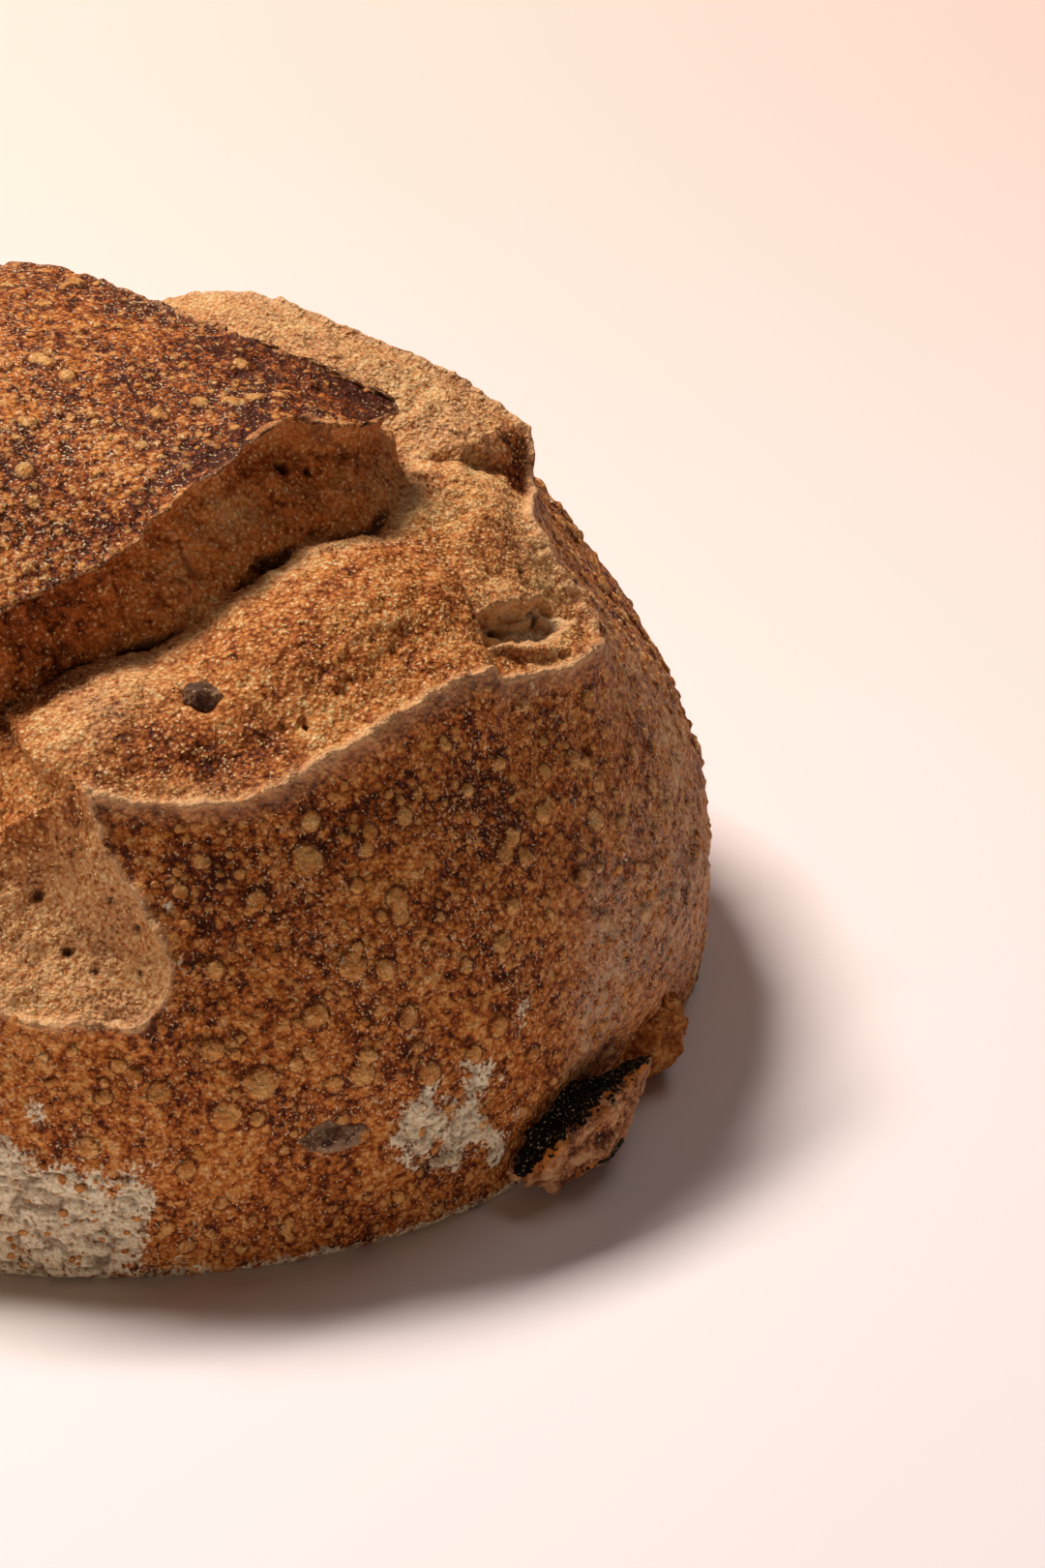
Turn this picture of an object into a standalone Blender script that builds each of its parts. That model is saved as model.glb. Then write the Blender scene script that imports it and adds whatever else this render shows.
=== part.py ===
"""A raisin walnut loaf: round, shaped by hand and slashed four times across the top, with nuts and raisins in it.

The dough is a dome about the Z axis, pushed out a little on its left. Its skin is described on a flat map: a point
of the map lies as far from the middle as the skin point lies from the crown, measured along the skin, and in the
same direction. The slashes are outlines on that map. Between them the crust stays: the island in the middle and the
panels round it. Inside them the dough has torn open, and its surface is a groove with a swollen band.

Units are metres, with +Z up. The camera of a front view would look along +Y.
"""

import math

import bmesh
import bpy
import numpy as np
from mathutils import Matrix, Vector, geometry, noise

MM = 0.001

# The dough
RADIUS = 97.5 * MM
HEIGHT = 118.6 * MM
BELLY_HEIGHT = 30.8 * MM
BASE_RADIUS = 94.5 * MM
BASE_MIDDLE = 8 * MM
DOME_ROUNDNESS = 0.814
DOME_RISE = 1.423
FOOT_ROUNDNESS = 0.72
LEFT_STRETCH = 0.08
SLOPE_STEP = 1.5 * MM
FOOT_FADE = 25 * MM
UNEVENNESS = 1.1 * MM
UNEVENNESS_SIZE = 34 * MM

# The foot is drawn in on the right: share of the radius, direction and spread in degrees, height where it ends
FOOT_TUCK = 0.066
FOOT_TUCK_ANGLE = -27
FOOT_TUCK_SPREAD = 14
FOOT_TUCK_HEIGHT = 24 * MM

# How its mesh is spaced: (distance from the crown along the skin, spacing), and how clear rows are kept
SPACING_PLACES = tuple(d * MM for d in (0, 112, 135, 172, 195, 260))
SPACINGS = tuple(d * MM for d in (5.35, 5.6, 8, 8, 16, 16))
EDGE_SPACING = 3.4 * MM
TORN_ROWS = (1.4 * MM, 3.2 * MM)
CRUST_ROWS = (2.6 * MM, 6.0 * MM)
ROW_CLEARANCE = 0.93
ROOM_BESIDE_ROWS = 0.6
MEASURED_AT_ONCE = 4000
SPLINE_STEPS = 20

# The torn edges: rims, walls and bands
RIM_FALL = 1.5 * MM
PANEL_CURL = 3.0 * MM
RIM_LEDGE = 1.0 * MM
ISLAND_CURL = 4.0 * MM
ISLAND_STEP = 2.6 * MM
ISLAND_UNDERCUT = 2.4 * MM
ISLAND_UNDERCUT_REACH = 4.0 * MM
ON_THE_LINE = 0.05 * MM
GROOVE_PLACE = 0.32
GROOVE_SOFTNESS = 1.6 * MM
BAND_SWELL = 1.8
FULL_DEPTH_WIDTH = 25 * MM
# How deep the groove lies round the island: degrees from +X, depth
GROOVE_ANGLES = (-180, -130, -60, -28, -2, 24, 60, 130)
GROOVE_DEPTHS = tuple(d * MM for d in (10, 12, 12.5, 10.5, 7, 11, 14, 11))

# The island's crust lies higher on its left: (distance to the left of the crown, rise)
ISLAND_RISE_PLACES = tuple(d * MM for d in (-8, 6, 20, 40))
ISLAND_RISES = tuple(d * MM for d in (0, 1.5, 4.5, 5.5))
ISLAND_CENTRE = (-18 * MM, -12 * MM)

# The end of a slash beyond the island is a shallow pocket: share of the way across, distance from the island
POCKET_DIP = 3.0 * MM
POCKET_EDGE = 9 * MM
POCKET_ACROSS = (0.55, 0.8)
POCKET_FROM_ISLAND = (30 * MM, 48 * MM)

# The island's edge on the map, and how far the crust stands up along it: (x, y, rise) in millimetres
ISLAND_FRONT_EDGE = [
    (43.5, -5, 1.2), (43.5, -10, 2), (39, -17, 2), (34, -20.5, 2.5), (27, -22.5, 3), (22, -28, 2.5),
    (16, -37, 2), (8, -44.5, 0.8), (0, -53, -1.5), (-20, -63, -2),
]
ISLAND_LEFT_CORNER = (-75, -11, 1)
ISLAND_BACK_EDGE = [
    (-26, 38, 1), (-8, 23, 1), (1, 14.5, 1), (10, 8.5, 1), (18.5, 2, 1), (35, -3.5, 1), (43.5, -5, 1.2),
]
ISLAND_BOW = 4
ISLAND_BOW_RISE = 3

# The opening's outer edge where the torn bands end at the panels, from the front round by the right and the back
FRONT_RIM = [
    (-1, -92, 3.5), (5, -93.7, 2.5), (14, -93.8, 2), (23, -92.3, 2), (31, -89, 2.3), (39, -83, 2.5),
    (46, -77, 2.7), (61, -61.5, 3.6), (66.5, -56.2, 4.4), (70, -55.8, 2.6), (77, -49.7, 2.4), (84, -42, 3),
    (89.5, -32, 4),
]
RIGHT_END = [
    (89.5, -32, 4), (91, -27, 1.5), (87, -21, 1), (80, -16.5, 1), (74.5, -9, 1), (76, 7, 1.5), (70, 14.5, 6.5),
]
BACK_EAR = [
    (70, 14.5, 6.5), (61, 19, 5), (46, 24.5, 4), (32, 29, 4.2), (20, 35.5, 4.6), (7, 46, 3.5), (-6, 61, 2.5),
]
BACK_LEFT_RIM = ((-56, 70, 3), (-93, 27, 3))
FRONT_LEFT_RIM = ((-90, -41, 3), (-54, -80, 3))
RIM_BOW = 2
RIM_BOW_RISE = 2.5
POCKET_RIM = [
    (-36, -94, 1.5), (-35, -108, 1.5), (-19, -124.4, 2), (4, -127.6, 2), (11, -126.3, 2), (15, -120.5, 2),
    (13.5, -114, 1.6), (4.5, -103.5, 1.6), (1, -98, 2.2), (-1, -92, 3.5),
]

# The slashes cross and run on between the panels: the corners of crust there, the tips, and (way to the tip, width)
BACK_CROSSING = (-22, 75, 2)
LEFT_CROSSING = (-98, -5, 2)
SLASH_END_RISE = 1.5
SLASH_END_SHAPE = ((0.5, 0.8), (0.88, 0.45))
BACK_LEFT_SLASH_TIPS = ((1, 101), (-118, -31))
BACK_RIGHT_SLASH_TIP = (-58, 96)
FRONT_LEFT_SLASH_TIP = (-121, 18)
FRONT_RIGHT_SLASH_TIP = (-67, -110)

# The front left slash tore later and deeper than the band beside it: an outline with the drop along it, (x, y, drop)
LATE_TEAR = [
    (-2, -91.5, 0), (-8, -89, 2), (-13, -84, 3), (-17, -78, 3), (-23, -71, 2.5), (-33, -66, 0), (-45, -80, 0),
    (-30, -106, 0), (-14, -111, 0), (-2, -91.5, 0),
]
LATE_TEAR_REACH = 8 * MM
LATE_TEAR_LIP = 0.25

# In the band's right corner the dough burst into a hollow with upright walls: an outline with its depth
CORNER_HOLLOW = [
    (69.5, -48.8, 3.4), (66.8, -45, 3.4), (67, -41.5, 3.4), (71.5, -36.5, 3.2), (76.5, -31, 3), (80.5, -27.2, 2.8),
    (83.4, -27.2, 2.6), (84.2, -30.2, 2.6), (82.6, -34.8, 2.8), (79, -40.4, 3), (75, -45.1, 3.2), (69.5, -48.8, 3.4),
]
HOLLOW_WALL = 2 * MM
HOLLOW_LIP = 0.25
HOLLOW_LIP_REACH = 1.5 * MM

# Soft bumps and hollows of the skin: (x, y, reach, height) in millimetres
SWELLINGS = (
    (67.5, -62, 6, 2.2),
    (90, 14, 26, -5.2),
    (36, 50, 34, -6.0),
    (0, 68, 26, -4.5),
    (-17, -74, 9, 1.5),
    (-13, -97, 11, -2.2),
)

# Nuts and raisins: (name, kind, (length, width, thickness) mm, degrees round from +X, height of its middle in mm,
# how far its middle stands out of the skin in mm, degrees that its length leans from the level)
SEATED_PIECES = (
    ("walnut_front", "open walnut", (31, 15, 13), -40, 9.2, 3.4, 13),
    ("walnut_side", "covered walnut", (13, 15, 12), -22.5, 8.6, 0.6, 0),
    ("walnut_back", "walnut", (24, 14, 11), 128, 30, 1.6, -20),
    ("raisin_band", "raisin", (7, 5, 4.5), -75.7, 89.5, -1.2, -28),
    ("raisin_foot", "raisin", (12.5, 6.5, 5.5), -68.4, 23.6, -1.7, -6),
    ("raisin_left", "raisin", (12, 8, 7), -158, 44, -0.6, 30),
    ("raisin_back", "raisin", (11, 7.5, 6.5), 62, 58, -0.6, -35),
    ("raisin_pocket", "raisin", (9, 6.5, 5.5), 171, 72, -1.0, 15),
)
SEAT_GAP = 0.3 * MM
SEAT_GAP_MARGIN = 1.3
BALL_DETAIL = 3

# The relief of nuts and raisins, as shares of their radius
FURROW_DEPTH = 0.22
FURROW_WIDTH = 0.16
LOBE_HEIGHT = 0.10
NUT_UNEVENNESS = 0.12
OPEN_NUT_RIDGE = 0.16
OPEN_NUT_RIDGE_ANGLE = 48
OPEN_NUT_RIDGE_SPREAD = 16
OPEN_NUT_HOLLOW = 0.5
OPEN_NUT_HOLLOW_ANGLE = 100
OPEN_NUT_HOLLOW_SPREAD = 34
OPEN_NUT_TAPER = 0.3
WRINKLE_COUNT = 6
WRINKLE_HEIGHT = 0.07
RAISIN_UNEVENNESS = 0.10

COLOURS = {
    "crust": ((0.36, 0.16, 0.055, 1.0), 0.75),
    "walnut": ((0.16, 0.07, 0.03, 1.0), 0.6),
    "raisin": ((0.035, 0.02, 0.015, 1.0), 0.45),
}


def clear_scene():
    for item in list(bpy.data.objects):
        bpy.data.objects.remove(item)


def material(name):
    colour, roughness = COLOURS[name]
    made = bpy.data.materials.new(name)
    made.use_nodes = True
    shader = made.node_tree.nodes["Principled BSDF"]
    shader.inputs["Base Color"].default_value = colour
    shader.inputs["Roughness"].default_value = roughness
    shader.inputs["Metallic"].default_value = 0.0
    return made


def dough_profile(count=500):
    """Half an upright section of the dough: from the crown over the belly to its foot, and along the base.

    Gives three columns: distance from the crown along the skin, radius and height.
    """
    turn = np.linspace(math.pi / 2, 0, count)
    dome_radius = RADIUS * np.cos(turn) ** DOME_ROUNDNESS
    dome_height = BELLY_HEIGHT + (HEIGHT - BELLY_HEIGHT) * np.sin(turn) ** DOME_RISE
    turn = np.linspace(0, math.pi / 2, count)[1:]
    foot_radius = BASE_RADIUS + (RADIUS - BASE_RADIUS) * np.cos(turn) ** FOOT_ROUNDNESS
    foot_height = BELLY_HEIGHT * (1 - np.sin(turn) ** FOOT_ROUNDNESS)
    base_radius = np.linspace(BASE_RADIUS, BASE_MIDDLE, count // 5)[1:]
    radius = np.r_[dome_radius, foot_radius, base_radius]
    height = np.r_[dome_height, foot_height, np.zeros(len(base_radius))]
    radius[0] = 0
    steps = np.hypot(np.diff(radius), np.diff(height))
    return np.column_stack((np.r_[0, np.cumsum(steps)], radius, height))


PROFILE = dough_profile()
MAP_REACH = PROFILE[-1, 0]
SKIN_LENGTH = MAP_REACH - (BASE_RADIUS - BASE_MIDDLE)


def polar(along, angle):
    return np.column_stack((along * np.cos(angle), along * np.sin(angle)))


def smoothstep(low, high, value):
    share = np.clip((value - low) / (high - low), 0, 1)
    return share * share * (3 - 2 * share)


def hill(distance, reach):
    return np.exp(-((distance / reach) ** 2))


def rounded_fade(distance, reach):
    """1 at the edge, where it is level, and fading away from it."""
    return (1 + distance / reach) * np.exp(-distance / reach)


def girth_share(angle, height):
    """How far the dough reaches in each direction, as a share of its round radius."""
    tuck = hill(np.degrees(angle) - FOOT_TUCK_ANGLE, FOOT_TUCK_SPREAD) * smoothstep(FOOT_TUCK_HEIGHT, 0, height)
    return 1 + LEFT_STRETCH * np.clip(-np.cos(angle), 0, 1) ** 2 - FOOT_TUCK * tuck


def skin_points(places, lift):
    """Where map places lie in space, raised by lift square to the dough's skin."""
    along = np.hypot(places[:, 0], places[:, 1])
    angle = np.arctan2(places[:, 1], places[:, 0])
    reached, radii, heights = PROFILE.T
    ahead = np.minimum(along + SLOPE_STEP, MAP_REACH)
    behind = np.maximum(along - SLOPE_STEP, 0)
    out = np.interp(ahead, reached, radii) - np.interp(behind, reached, radii)
    down = np.interp(behind, reached, heights) - np.interp(ahead, reached, heights)
    length = np.maximum(np.hypot(out, down), 1e-9)
    height = np.interp(along, reached, heights) + lift * out / length
    radius = (np.interp(along, reached, radii) + lift * down / length) * girth_share(angle, height)
    return np.column_stack((radius * np.cos(angle), radius * np.sin(angle), height))


def smooth_stroke(points, spacing):
    """Evenly spaced points of a curve through the given ones, without its last: a Catmull-Rom spline, in metres."""
    knots = np.array(points, float) * MM
    knots = np.vstack((2 * knots[0] - knots[1], knots, 2 * knots[-1] - knots[-2]))
    t = np.linspace(0, 1, SPLINE_STEPS)[:, None]
    spans = []
    for before, start, end, after in zip(knots, knots[1:], knots[2:], knots[3:]):
        spans.append(
            0.5 * (2 * start + (end - before) * t + (2 * before - 5 * start + 4 * end - after) * t**2
                   + (3 * start - before - 3 * end + after) * t**3)
        )
    curve = np.vstack(spans)
    along = np.r_[0, np.cumsum(np.hypot(*np.diff(curve[:, :2], axis=0).T))]
    even = np.linspace(0, along[-1], max(2, round(along[-1] / spacing)) + 1)[:-1]
    return np.column_stack([np.interp(even, along, column) for column in curve.T])


def closed_line(*strokes):
    """One closed line from strokes that each start where the one before ends."""
    return np.vstack([smooth_stroke(stroke, EDGE_SPACING) for stroke in strokes])


def bowed(start, end, bow, rise):
    """A stroke that bows out to the right of its way, with the crust's rise at its middle."""
    along = np.subtract(end, start)[:2]
    middle = np.add(start, end)[:2] / 2 + bow * np.array((along[1], -along[0])) / np.linalg.norm(along)
    return [start, (*middle, rise), end]


def slash_end(start, tip, end):
    """The narrowing, rounded end of a slash, between two corners of crust."""
    root = np.add(start, end)[:2] / 2
    sides = []
    for corner in (start, end):
        for along, width in SLASH_END_SHAPE:
            place = root + along * (tip - root) + width * (np.array(corner[:2]) - root)
            sides.append((*place, SLASH_END_RISE))
    return [start, sides[0], sides[1], (*tip, SLASH_END_RISE), sides[3], sides[2], end]


ISLAND = closed_line(
    ISLAND_FRONT_EDGE,
    bowed(ISLAND_FRONT_EDGE[-1], ISLAND_LEFT_CORNER, -ISLAND_BOW, ISLAND_BOW_RISE),
    bowed(ISLAND_LEFT_CORNER, ISLAND_BACK_EDGE[0], -ISLAND_BOW, ISLAND_BOW_RISE),
    ISLAND_BACK_EDGE,
)
OPENING = closed_line(
    FRONT_RIM,
    RIGHT_END,
    BACK_EAR,
    slash_end(BACK_EAR[-1], BACK_LEFT_SLASH_TIPS[0], BACK_CROSSING),
    slash_end(BACK_CROSSING, BACK_RIGHT_SLASH_TIP, BACK_LEFT_RIM[0]),
    bowed(*BACK_LEFT_RIM, RIM_BOW, RIM_BOW_RISE),
    slash_end(BACK_LEFT_RIM[1], FRONT_LEFT_SLASH_TIP, LEFT_CROSSING),
    slash_end(LEFT_CROSSING, BACK_LEFT_SLASH_TIPS[1], FRONT_LEFT_RIM[0]),
    bowed(*FRONT_LEFT_RIM, RIM_BOW, RIM_BOW_RISE),
    slash_end(FRONT_LEFT_RIM[1], FRONT_RIGHT_SLASH_TIP, POCKET_RIM[0]),
    POCKET_RIM,
)
TEAR = closed_line(LATE_TEAR)
HOLLOW = closed_line(CORNER_HOLLOW)


def nearest_on(line, places):
    """For each place: its distance to the closed line, the nearest point with its rise, and whether it is inside."""
    start, end = line, np.roll(line, -1, axis=0)
    along = end[:, :2] - start[:, :2]
    distance = np.empty(len(places))
    foot = np.empty((len(places), 3))
    inside = np.empty(len(places), bool)
    for first in range(0, len(places), MEASURED_AT_ONCE):
        part = slice(first, first + MEASURED_AT_ONCE)
        offset = places[part, None, :] - start[None, :, :2]
        share = np.clip((offset * along).sum(-1) / (along**2).sum(-1), 0, 1)
        gap = offset - share[..., None] * along
        squared = (gap**2).sum(-1)
        best = squared.argmin(axis=1)
        rows = np.arange(len(best))
        distance[part] = np.sqrt(squared[rows, best])
        foot[part] = start[best] + share[rows, best][:, None] * (end - start)[best]
        above = places[part, None, 1] < start[None, :, 1]
        crosses = above != (places[part, None, 1] < end[None, :, 1])
        with np.errstate(divide="ignore", invalid="ignore"):
            crossing = start[:, 0] + along[:, 0] * (places[part, None, 1] - start[:, 1]) / along[:, 1]
        inside[part] = (crosses & (places[part, None, 0] < crossing)).sum(axis=1) % 2 == 1
    return distance, foot, inside


def ring_reaches():
    """Distances of the rings from the crown, scaled a little so that one of them lies on the foot's edge."""
    reaches = [SPACINGS[0]]
    while reaches[-1] < MAP_REACH - SPACINGS[-1]:
        reaches.append(reaches[-1] + np.interp(reaches[-1], SPACING_PLACES, SPACINGS) * math.sin(math.pi / 3))
    reaches = np.array(reaches)
    nearest_the_foot = reaches[np.abs(reaches - SKIN_LENGTH).argmin()]
    return reaches * SKIN_LENGTH / nearest_the_foot


def ring_places():
    """Map places in rings round the crown, evenly spaced on the true skin. The last ring is at the base's middle."""
    rings = [np.zeros((1, 2))]
    for along in ring_reaches():
        girth = 2 * math.pi * np.interp(along, PROFILE[:, 0], PROFILE[:, 1])
        count = max(6, round(girth / np.interp(along, SPACING_PLACES, SPACINGS)))
        rings.append(polar(along, 2 * math.pi * (np.arange(count) + len(rings) % 2 / 2) / count))
    rings.append(polar(MAP_REACH, np.arange(6) * math.pi / 3))
    return rings


def from_lines(places, *lines):
    """Distance to the nearest of some outlines."""
    return np.min([nearest_on(line, places)[0] for line in lines], axis=0)


def rows_beside(line, offsets):
    """Rows of places beside a closed line, each with its distance to it. A positive offset is to its right."""
    along = np.roll(line, -1, axis=0)[:, :2] - np.roll(line, 1, axis=0)[:, :2]
    across = np.column_stack((along[:, 1], -along[:, 0])) / np.hypot(*along.T)[:, None]
    return [(line[:, :2] + across * offset, abs(offset)) for offset in offsets]


def undistorted(places):
    """The places drawn on a plane where small shapes of the true skin keep their form, for even triangles."""
    radius = np.maximum(PROFILE[:, 1], MM)
    grown = np.r_[0, np.cumsum(np.diff(PROFILE[:, 0]) / ((radius[1:] + radius[:-1]) / 2))]
    along = np.hypot(places[:, 0], places[:, 1])
    angle = np.arctan2(places[:, 1], places[:, 0])
    return polar(np.exp(np.interp(along, PROFILE[:, 0], grown)) - 1, angle)


def skin_mesh():
    """Map places and the triangles between them, with edges along the island's and the opening's outlines."""
    rings = ring_places()
    widest = max(TORN_ROWS + CRUST_ROWS)
    both_sides = [side * offset for side in (-1, 1) for offset in TORN_ROWS + CRUST_ROWS]
    tear = TEAR[:, :2]
    kept = [ISLAND[:, :2], OPENING[:, :2], HOLLOW[:, :2], rows_beside(HOLLOW, [HOLLOW_WALL])[0][0]]
    kept.append(tear[from_lines(tear, ISLAND, OPENING) > widest])
    for line in (ISLAND, OPENING):
        for row, offset in rows_beside(line, both_sides):
            clear = from_lines(row, ISLAND, OPENING) > ROW_CLEARANCE * offset
            kept.append(row[clear & (from_lines(row, HOLLOW) > HOLLOW_WALL)])
    field = np.vstack(rings[:-1])
    room = np.interp(np.hypot(field[:, 0], field[:, 1]), SPACING_PLACES, SPACINGS) * ROOM_BESIDE_ROWS
    clear = (from_lines(field, ISLAND, OPENING) > room + widest) & (from_lines(field, TEAR, HOLLOW) > room)
    kept += [field[clear], rings[-1]]
    places = np.vstack(kept)
    edges = []
    first = 0
    for line in kept[:3]:
        edges += [(first + i, first + (i + 1) % len(line)) for i in range(len(line))]
        first += len(line)
    flat = [Vector(place) for place in undistorted(places)]
    made = geometry.delaunay_2d_cdt(flat, edges, [], 0, 1e-7)
    source = [origins[0] for origins in made[3]]
    triangles = [tuple(face) for face in made[2]]
    where = {origin: index for index, origin in enumerate(source)}
    last_ring = [where[len(places) - count] for count in range(len(rings[-1]), 0, -1)]
    return places[source], triangles + [tuple(reversed(last_ring))]


def groove_depth(places):
    angle = np.degrees(np.arctan2(places[:, 1] - ISLAND_CENTRE[1], places[:, 0] - ISLAND_CENTRE[0]))
    return np.interp(angle, GROOVE_ANGLES, GROOVE_DEPTHS, period=360)


def unevenness(places):
    """Slow waves of a dough that was shaped by hand, with its few larger swellings and hollows."""
    scale = 1 / UNEVENNESS_SIZE
    height = UNEVENNESS * np.array([noise.noise(Vector((x * scale, y * scale, 0.7))) for x, y in places])
    for x, y, reach, rise in SWELLINGS:
        height += rise * MM * hill(np.hypot(places[:, 0] - x * MM, places[:, 1] - y * MM), reach * MM)
    return height


def torn_floor(places, from_island, from_rim, rim_rise, island_rise):
    """The torn dough: a wall down from the island, a groove, and a band that swells up to just under the rim."""
    width = from_island + from_rim
    across = from_island / np.maximum(width, 1e-9)
    deepest = groove_depth(places) * np.minimum(1, width / FULL_DEPTH_WIDTH)
    wall = ISLAND_STEP + (deepest - ISLAND_STEP) * across / GROOVE_PLACE
    rim_foot = RIM_LEDGE - rim_rise
    up_the_band = np.clip((across - GROOVE_PLACE) / (1 - GROOVE_PLACE), 0, 1)
    band = rim_foot + (deepest - rim_foot) * (1 - up_the_band) ** BAND_SWELL
    floor = -(wall + band - np.hypot(wall - band, GROOVE_SOFTNESS)) / 2
    floor += island_rise * (1 - np.minimum(1, across / GROOVE_PLACE))
    in_pocket = smoothstep(*POCKET_ACROSS, across) * smoothstep(*POCKET_FROM_ISLAND, from_island)
    return floor - POCKET_DIP * in_pocket * smoothstep(0, POCKET_EDGE, from_rim)


def late_tear(places):
    """The deeper tear: it drops inside its outline, with a small lip outside."""
    distance, edge, within = nearest_on(TEAR, places)
    drop = (1 + LATE_TEAR_LIP) * hill(distance, RIM_FALL) - np.exp(-distance / LATE_TEAR_REACH)
    return edge[:, 2] * np.where(within, drop, LATE_TEAR_LIP * rounded_fade(distance, RIM_FALL))


def corner_hollow(places):
    """The hollow in the band's corner: upright walls inside its outline, with a small lip outside."""
    distance, edge, within = nearest_on(HOLLOW, places)
    lip = HOLLOW_LIP * rounded_fade(distance, HOLLOW_LIP_REACH)
    down = HOLLOW_LIP - (1 + HOLLOW_LIP) * smoothstep(0, HOLLOW_WALL, distance)
    return edge[:, 2] * np.where(within, down, lip)


def relief(places):
    """How far the skin stands out at each map place, and where the place moves to when the island overhangs."""
    from_rim, rim, in_opening = nearest_on(OPENING, places)
    from_island, edge, on_island = nearest_on(ISLAND, places)
    torn = in_opening & ~on_island
    island_rise = np.interp(-places[:, 0], ISLAND_RISE_PLACES, ISLAND_RISES)

    panel = rim[:, 2] * rounded_fade(from_rim, PANEL_CURL)
    island = island_rise + edge[:, 2] * rounded_fade(from_island, ISLAND_CURL)
    floor = torn_floor(places, from_island, from_rim, rim[:, 2], island_rise)
    floor += late_tear(places) + corner_hollow(places)
    opening = floor + (island_rise + edge[:, 2] - floor) * hill(from_island, RIM_FALL)
    opening += (rim[:, 2] - floor) * hill(from_rim, RIM_FALL)
    lift = np.where(on_island, island, np.where(torn, opening, panel)) + unevenness(places)
    lift *= smoothstep(SKIN_LENGTH, SKIN_LENGTH - FOOT_FADE, np.hypot(places[:, 0], places[:, 1]))

    outward = places - edge[:, :2]
    outward /= np.maximum(np.hypot(*outward.T), 1e-9)[:, None]
    outward[on_island] *= -1
    on_the_line = from_island < ON_THE_LINE
    from_centre = places - np.array(ISLAND_CENTRE)
    outward[on_the_line] = (from_centre / np.hypot(*from_centre.T)[:, None])[on_the_line]
    reach = np.where(on_island, ISLAND_UNDERCUT_REACH, RIM_FALL / 2)
    return lift, places + outward * (ISLAND_UNDERCUT * hill(from_island, reach))[:, None]


def new_object(name, mesh, material_name, collection):
    mesh.materials.append(bpy.data.materials[material_name])
    mesh.shade_smooth()
    made = bpy.data.objects.new(name, mesh)
    collection.objects.link(made)
    return made


def make_loaf(collection):
    places, faces = skin_mesh()
    lift, moved = relief(places)
    mesh = bpy.data.meshes.new("loaf")
    mesh.from_pydata(skin_points(moved, lift).tolist(), [], faces)
    return new_object("loaf", mesh, "crust", collection)


def walnut_shape(direction):
    """Distance from the middle of a walnut half: a furrow along its back and lobes folded to either side."""
    furrow = FURROW_DEPTH * hill(direction.y, FURROW_WIDTH) * smoothstep(-0.2, 0.5, direction.z)
    return 1 - furrow + lobes(direction) + NUT_UNEVENNESS * noise.noise(direction * 2.3)


def lobes(direction):
    return LOBE_HEIGHT * math.sin(9 * direction.x + 2.5 * abs(direction.y)) * math.sin(4 + 7 * abs(direction.y))


def covered_walnut_shape(direction):
    """A walnut half under a skin of dough: lobed, without the furrow."""
    return 1 + lobes(direction) / 2 + NUT_UNEVENNESS * noise.noise(direction * 2.3)


def open_walnut_shape(direction):
    """A broken walnut half: hollow on the side towards the loaf's top, with a sharp ridge before the hollow."""
    around = math.degrees(math.atan2(direction.y, direction.z))
    ridge = OPEN_NUT_RIDGE * hill(around - OPEN_NUT_RIDGE_ANGLE, OPEN_NUT_RIDGE_SPREAD)
    hollow = OPEN_NUT_HOLLOW * hill(around - OPEN_NUT_HOLLOW_ANGLE, OPEN_NUT_HOLLOW_SPREAD)
    taper = OPEN_NUT_TAPER * smoothstep(0.1, 1, direction.x) * (1 - direction.x**2) * 2
    across = (ridge - hollow) * (1 - direction.x**4) - taper
    return 1 + across + lobes(direction) / 2 + NUT_UNEVENNESS * noise.noise(direction * 2.3)


def raisin_shape(direction):
    """Distance from the middle of a raisin: wrinkles that run along it."""
    around = math.atan2(direction.z, direction.y)
    wrinkles = WRINKLE_HEIGHT * math.sin(WRINKLE_COUNT * around + 3 * direction.x) * (1 - direction.x**2)
    return 1 + wrinkles + RAISIN_UNEVENNESS * noise.noise(direction * 2.1 + Vector((3, 1, 4)))


# Each kind of nut or raisin: its shape, and its material
KINDS = {
    "walnut": (walnut_shape, "walnut"),
    "open walnut": (open_walnut_shape, "walnut"),
    "covered walnut": (covered_walnut_shape, "walnut"),
    "raisin": (raisin_shape, "raisin"),
}


def seat_frame(angle, height, stands_out, lean):
    """Where a nut or raisin lies: X along its length, Z out of the skin."""
    side = PROFILE[: np.searchsorted(-PROFILE[:, 2], 0)]
    along = np.interp(-height, -side[:, 2], side[:, 0])
    place = polar(np.array([along]), math.radians(angle))
    lift = relief(place)[0]
    skin, above = skin_points(place, lift)[0], skin_points(place, lift + MM)[0]
    out = Vector(above - skin).normalized()
    level = Vector((0, 0, 1)).cross(out).normalized()
    along = Matrix.Rotation(math.radians(lean), 3, out) @ level
    turned = Matrix((along, out.cross(along), out)).transposed().to_4x4()
    return Matrix.Translation(Vector(skin) + out * stands_out) @ turned


def make_piece(name, kind, size, angle, height, stands_out, lean, collection):
    """One nut or raisin, seated in the skin."""
    shape, material_name = KINDS[kind]
    ball = bmesh.new()
    bmesh.ops.create_icosphere(ball, subdivisions=BALL_DETAIL, radius=1)
    for vertex in ball.verts:
        direction = vertex.co.normalized()
        scale = shape(direction) * MM / 2
        vertex.co = Vector([part * side * scale for part, side in zip(direction, size)])
    mesh = bpy.data.meshes.new(name)
    ball.to_mesh(mesh)
    ball.free()
    piece = new_object(name, mesh, material_name, collection)
    piece.matrix_world = seat_frame(angle, height * MM, stands_out * MM, lean)
    return piece


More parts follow.
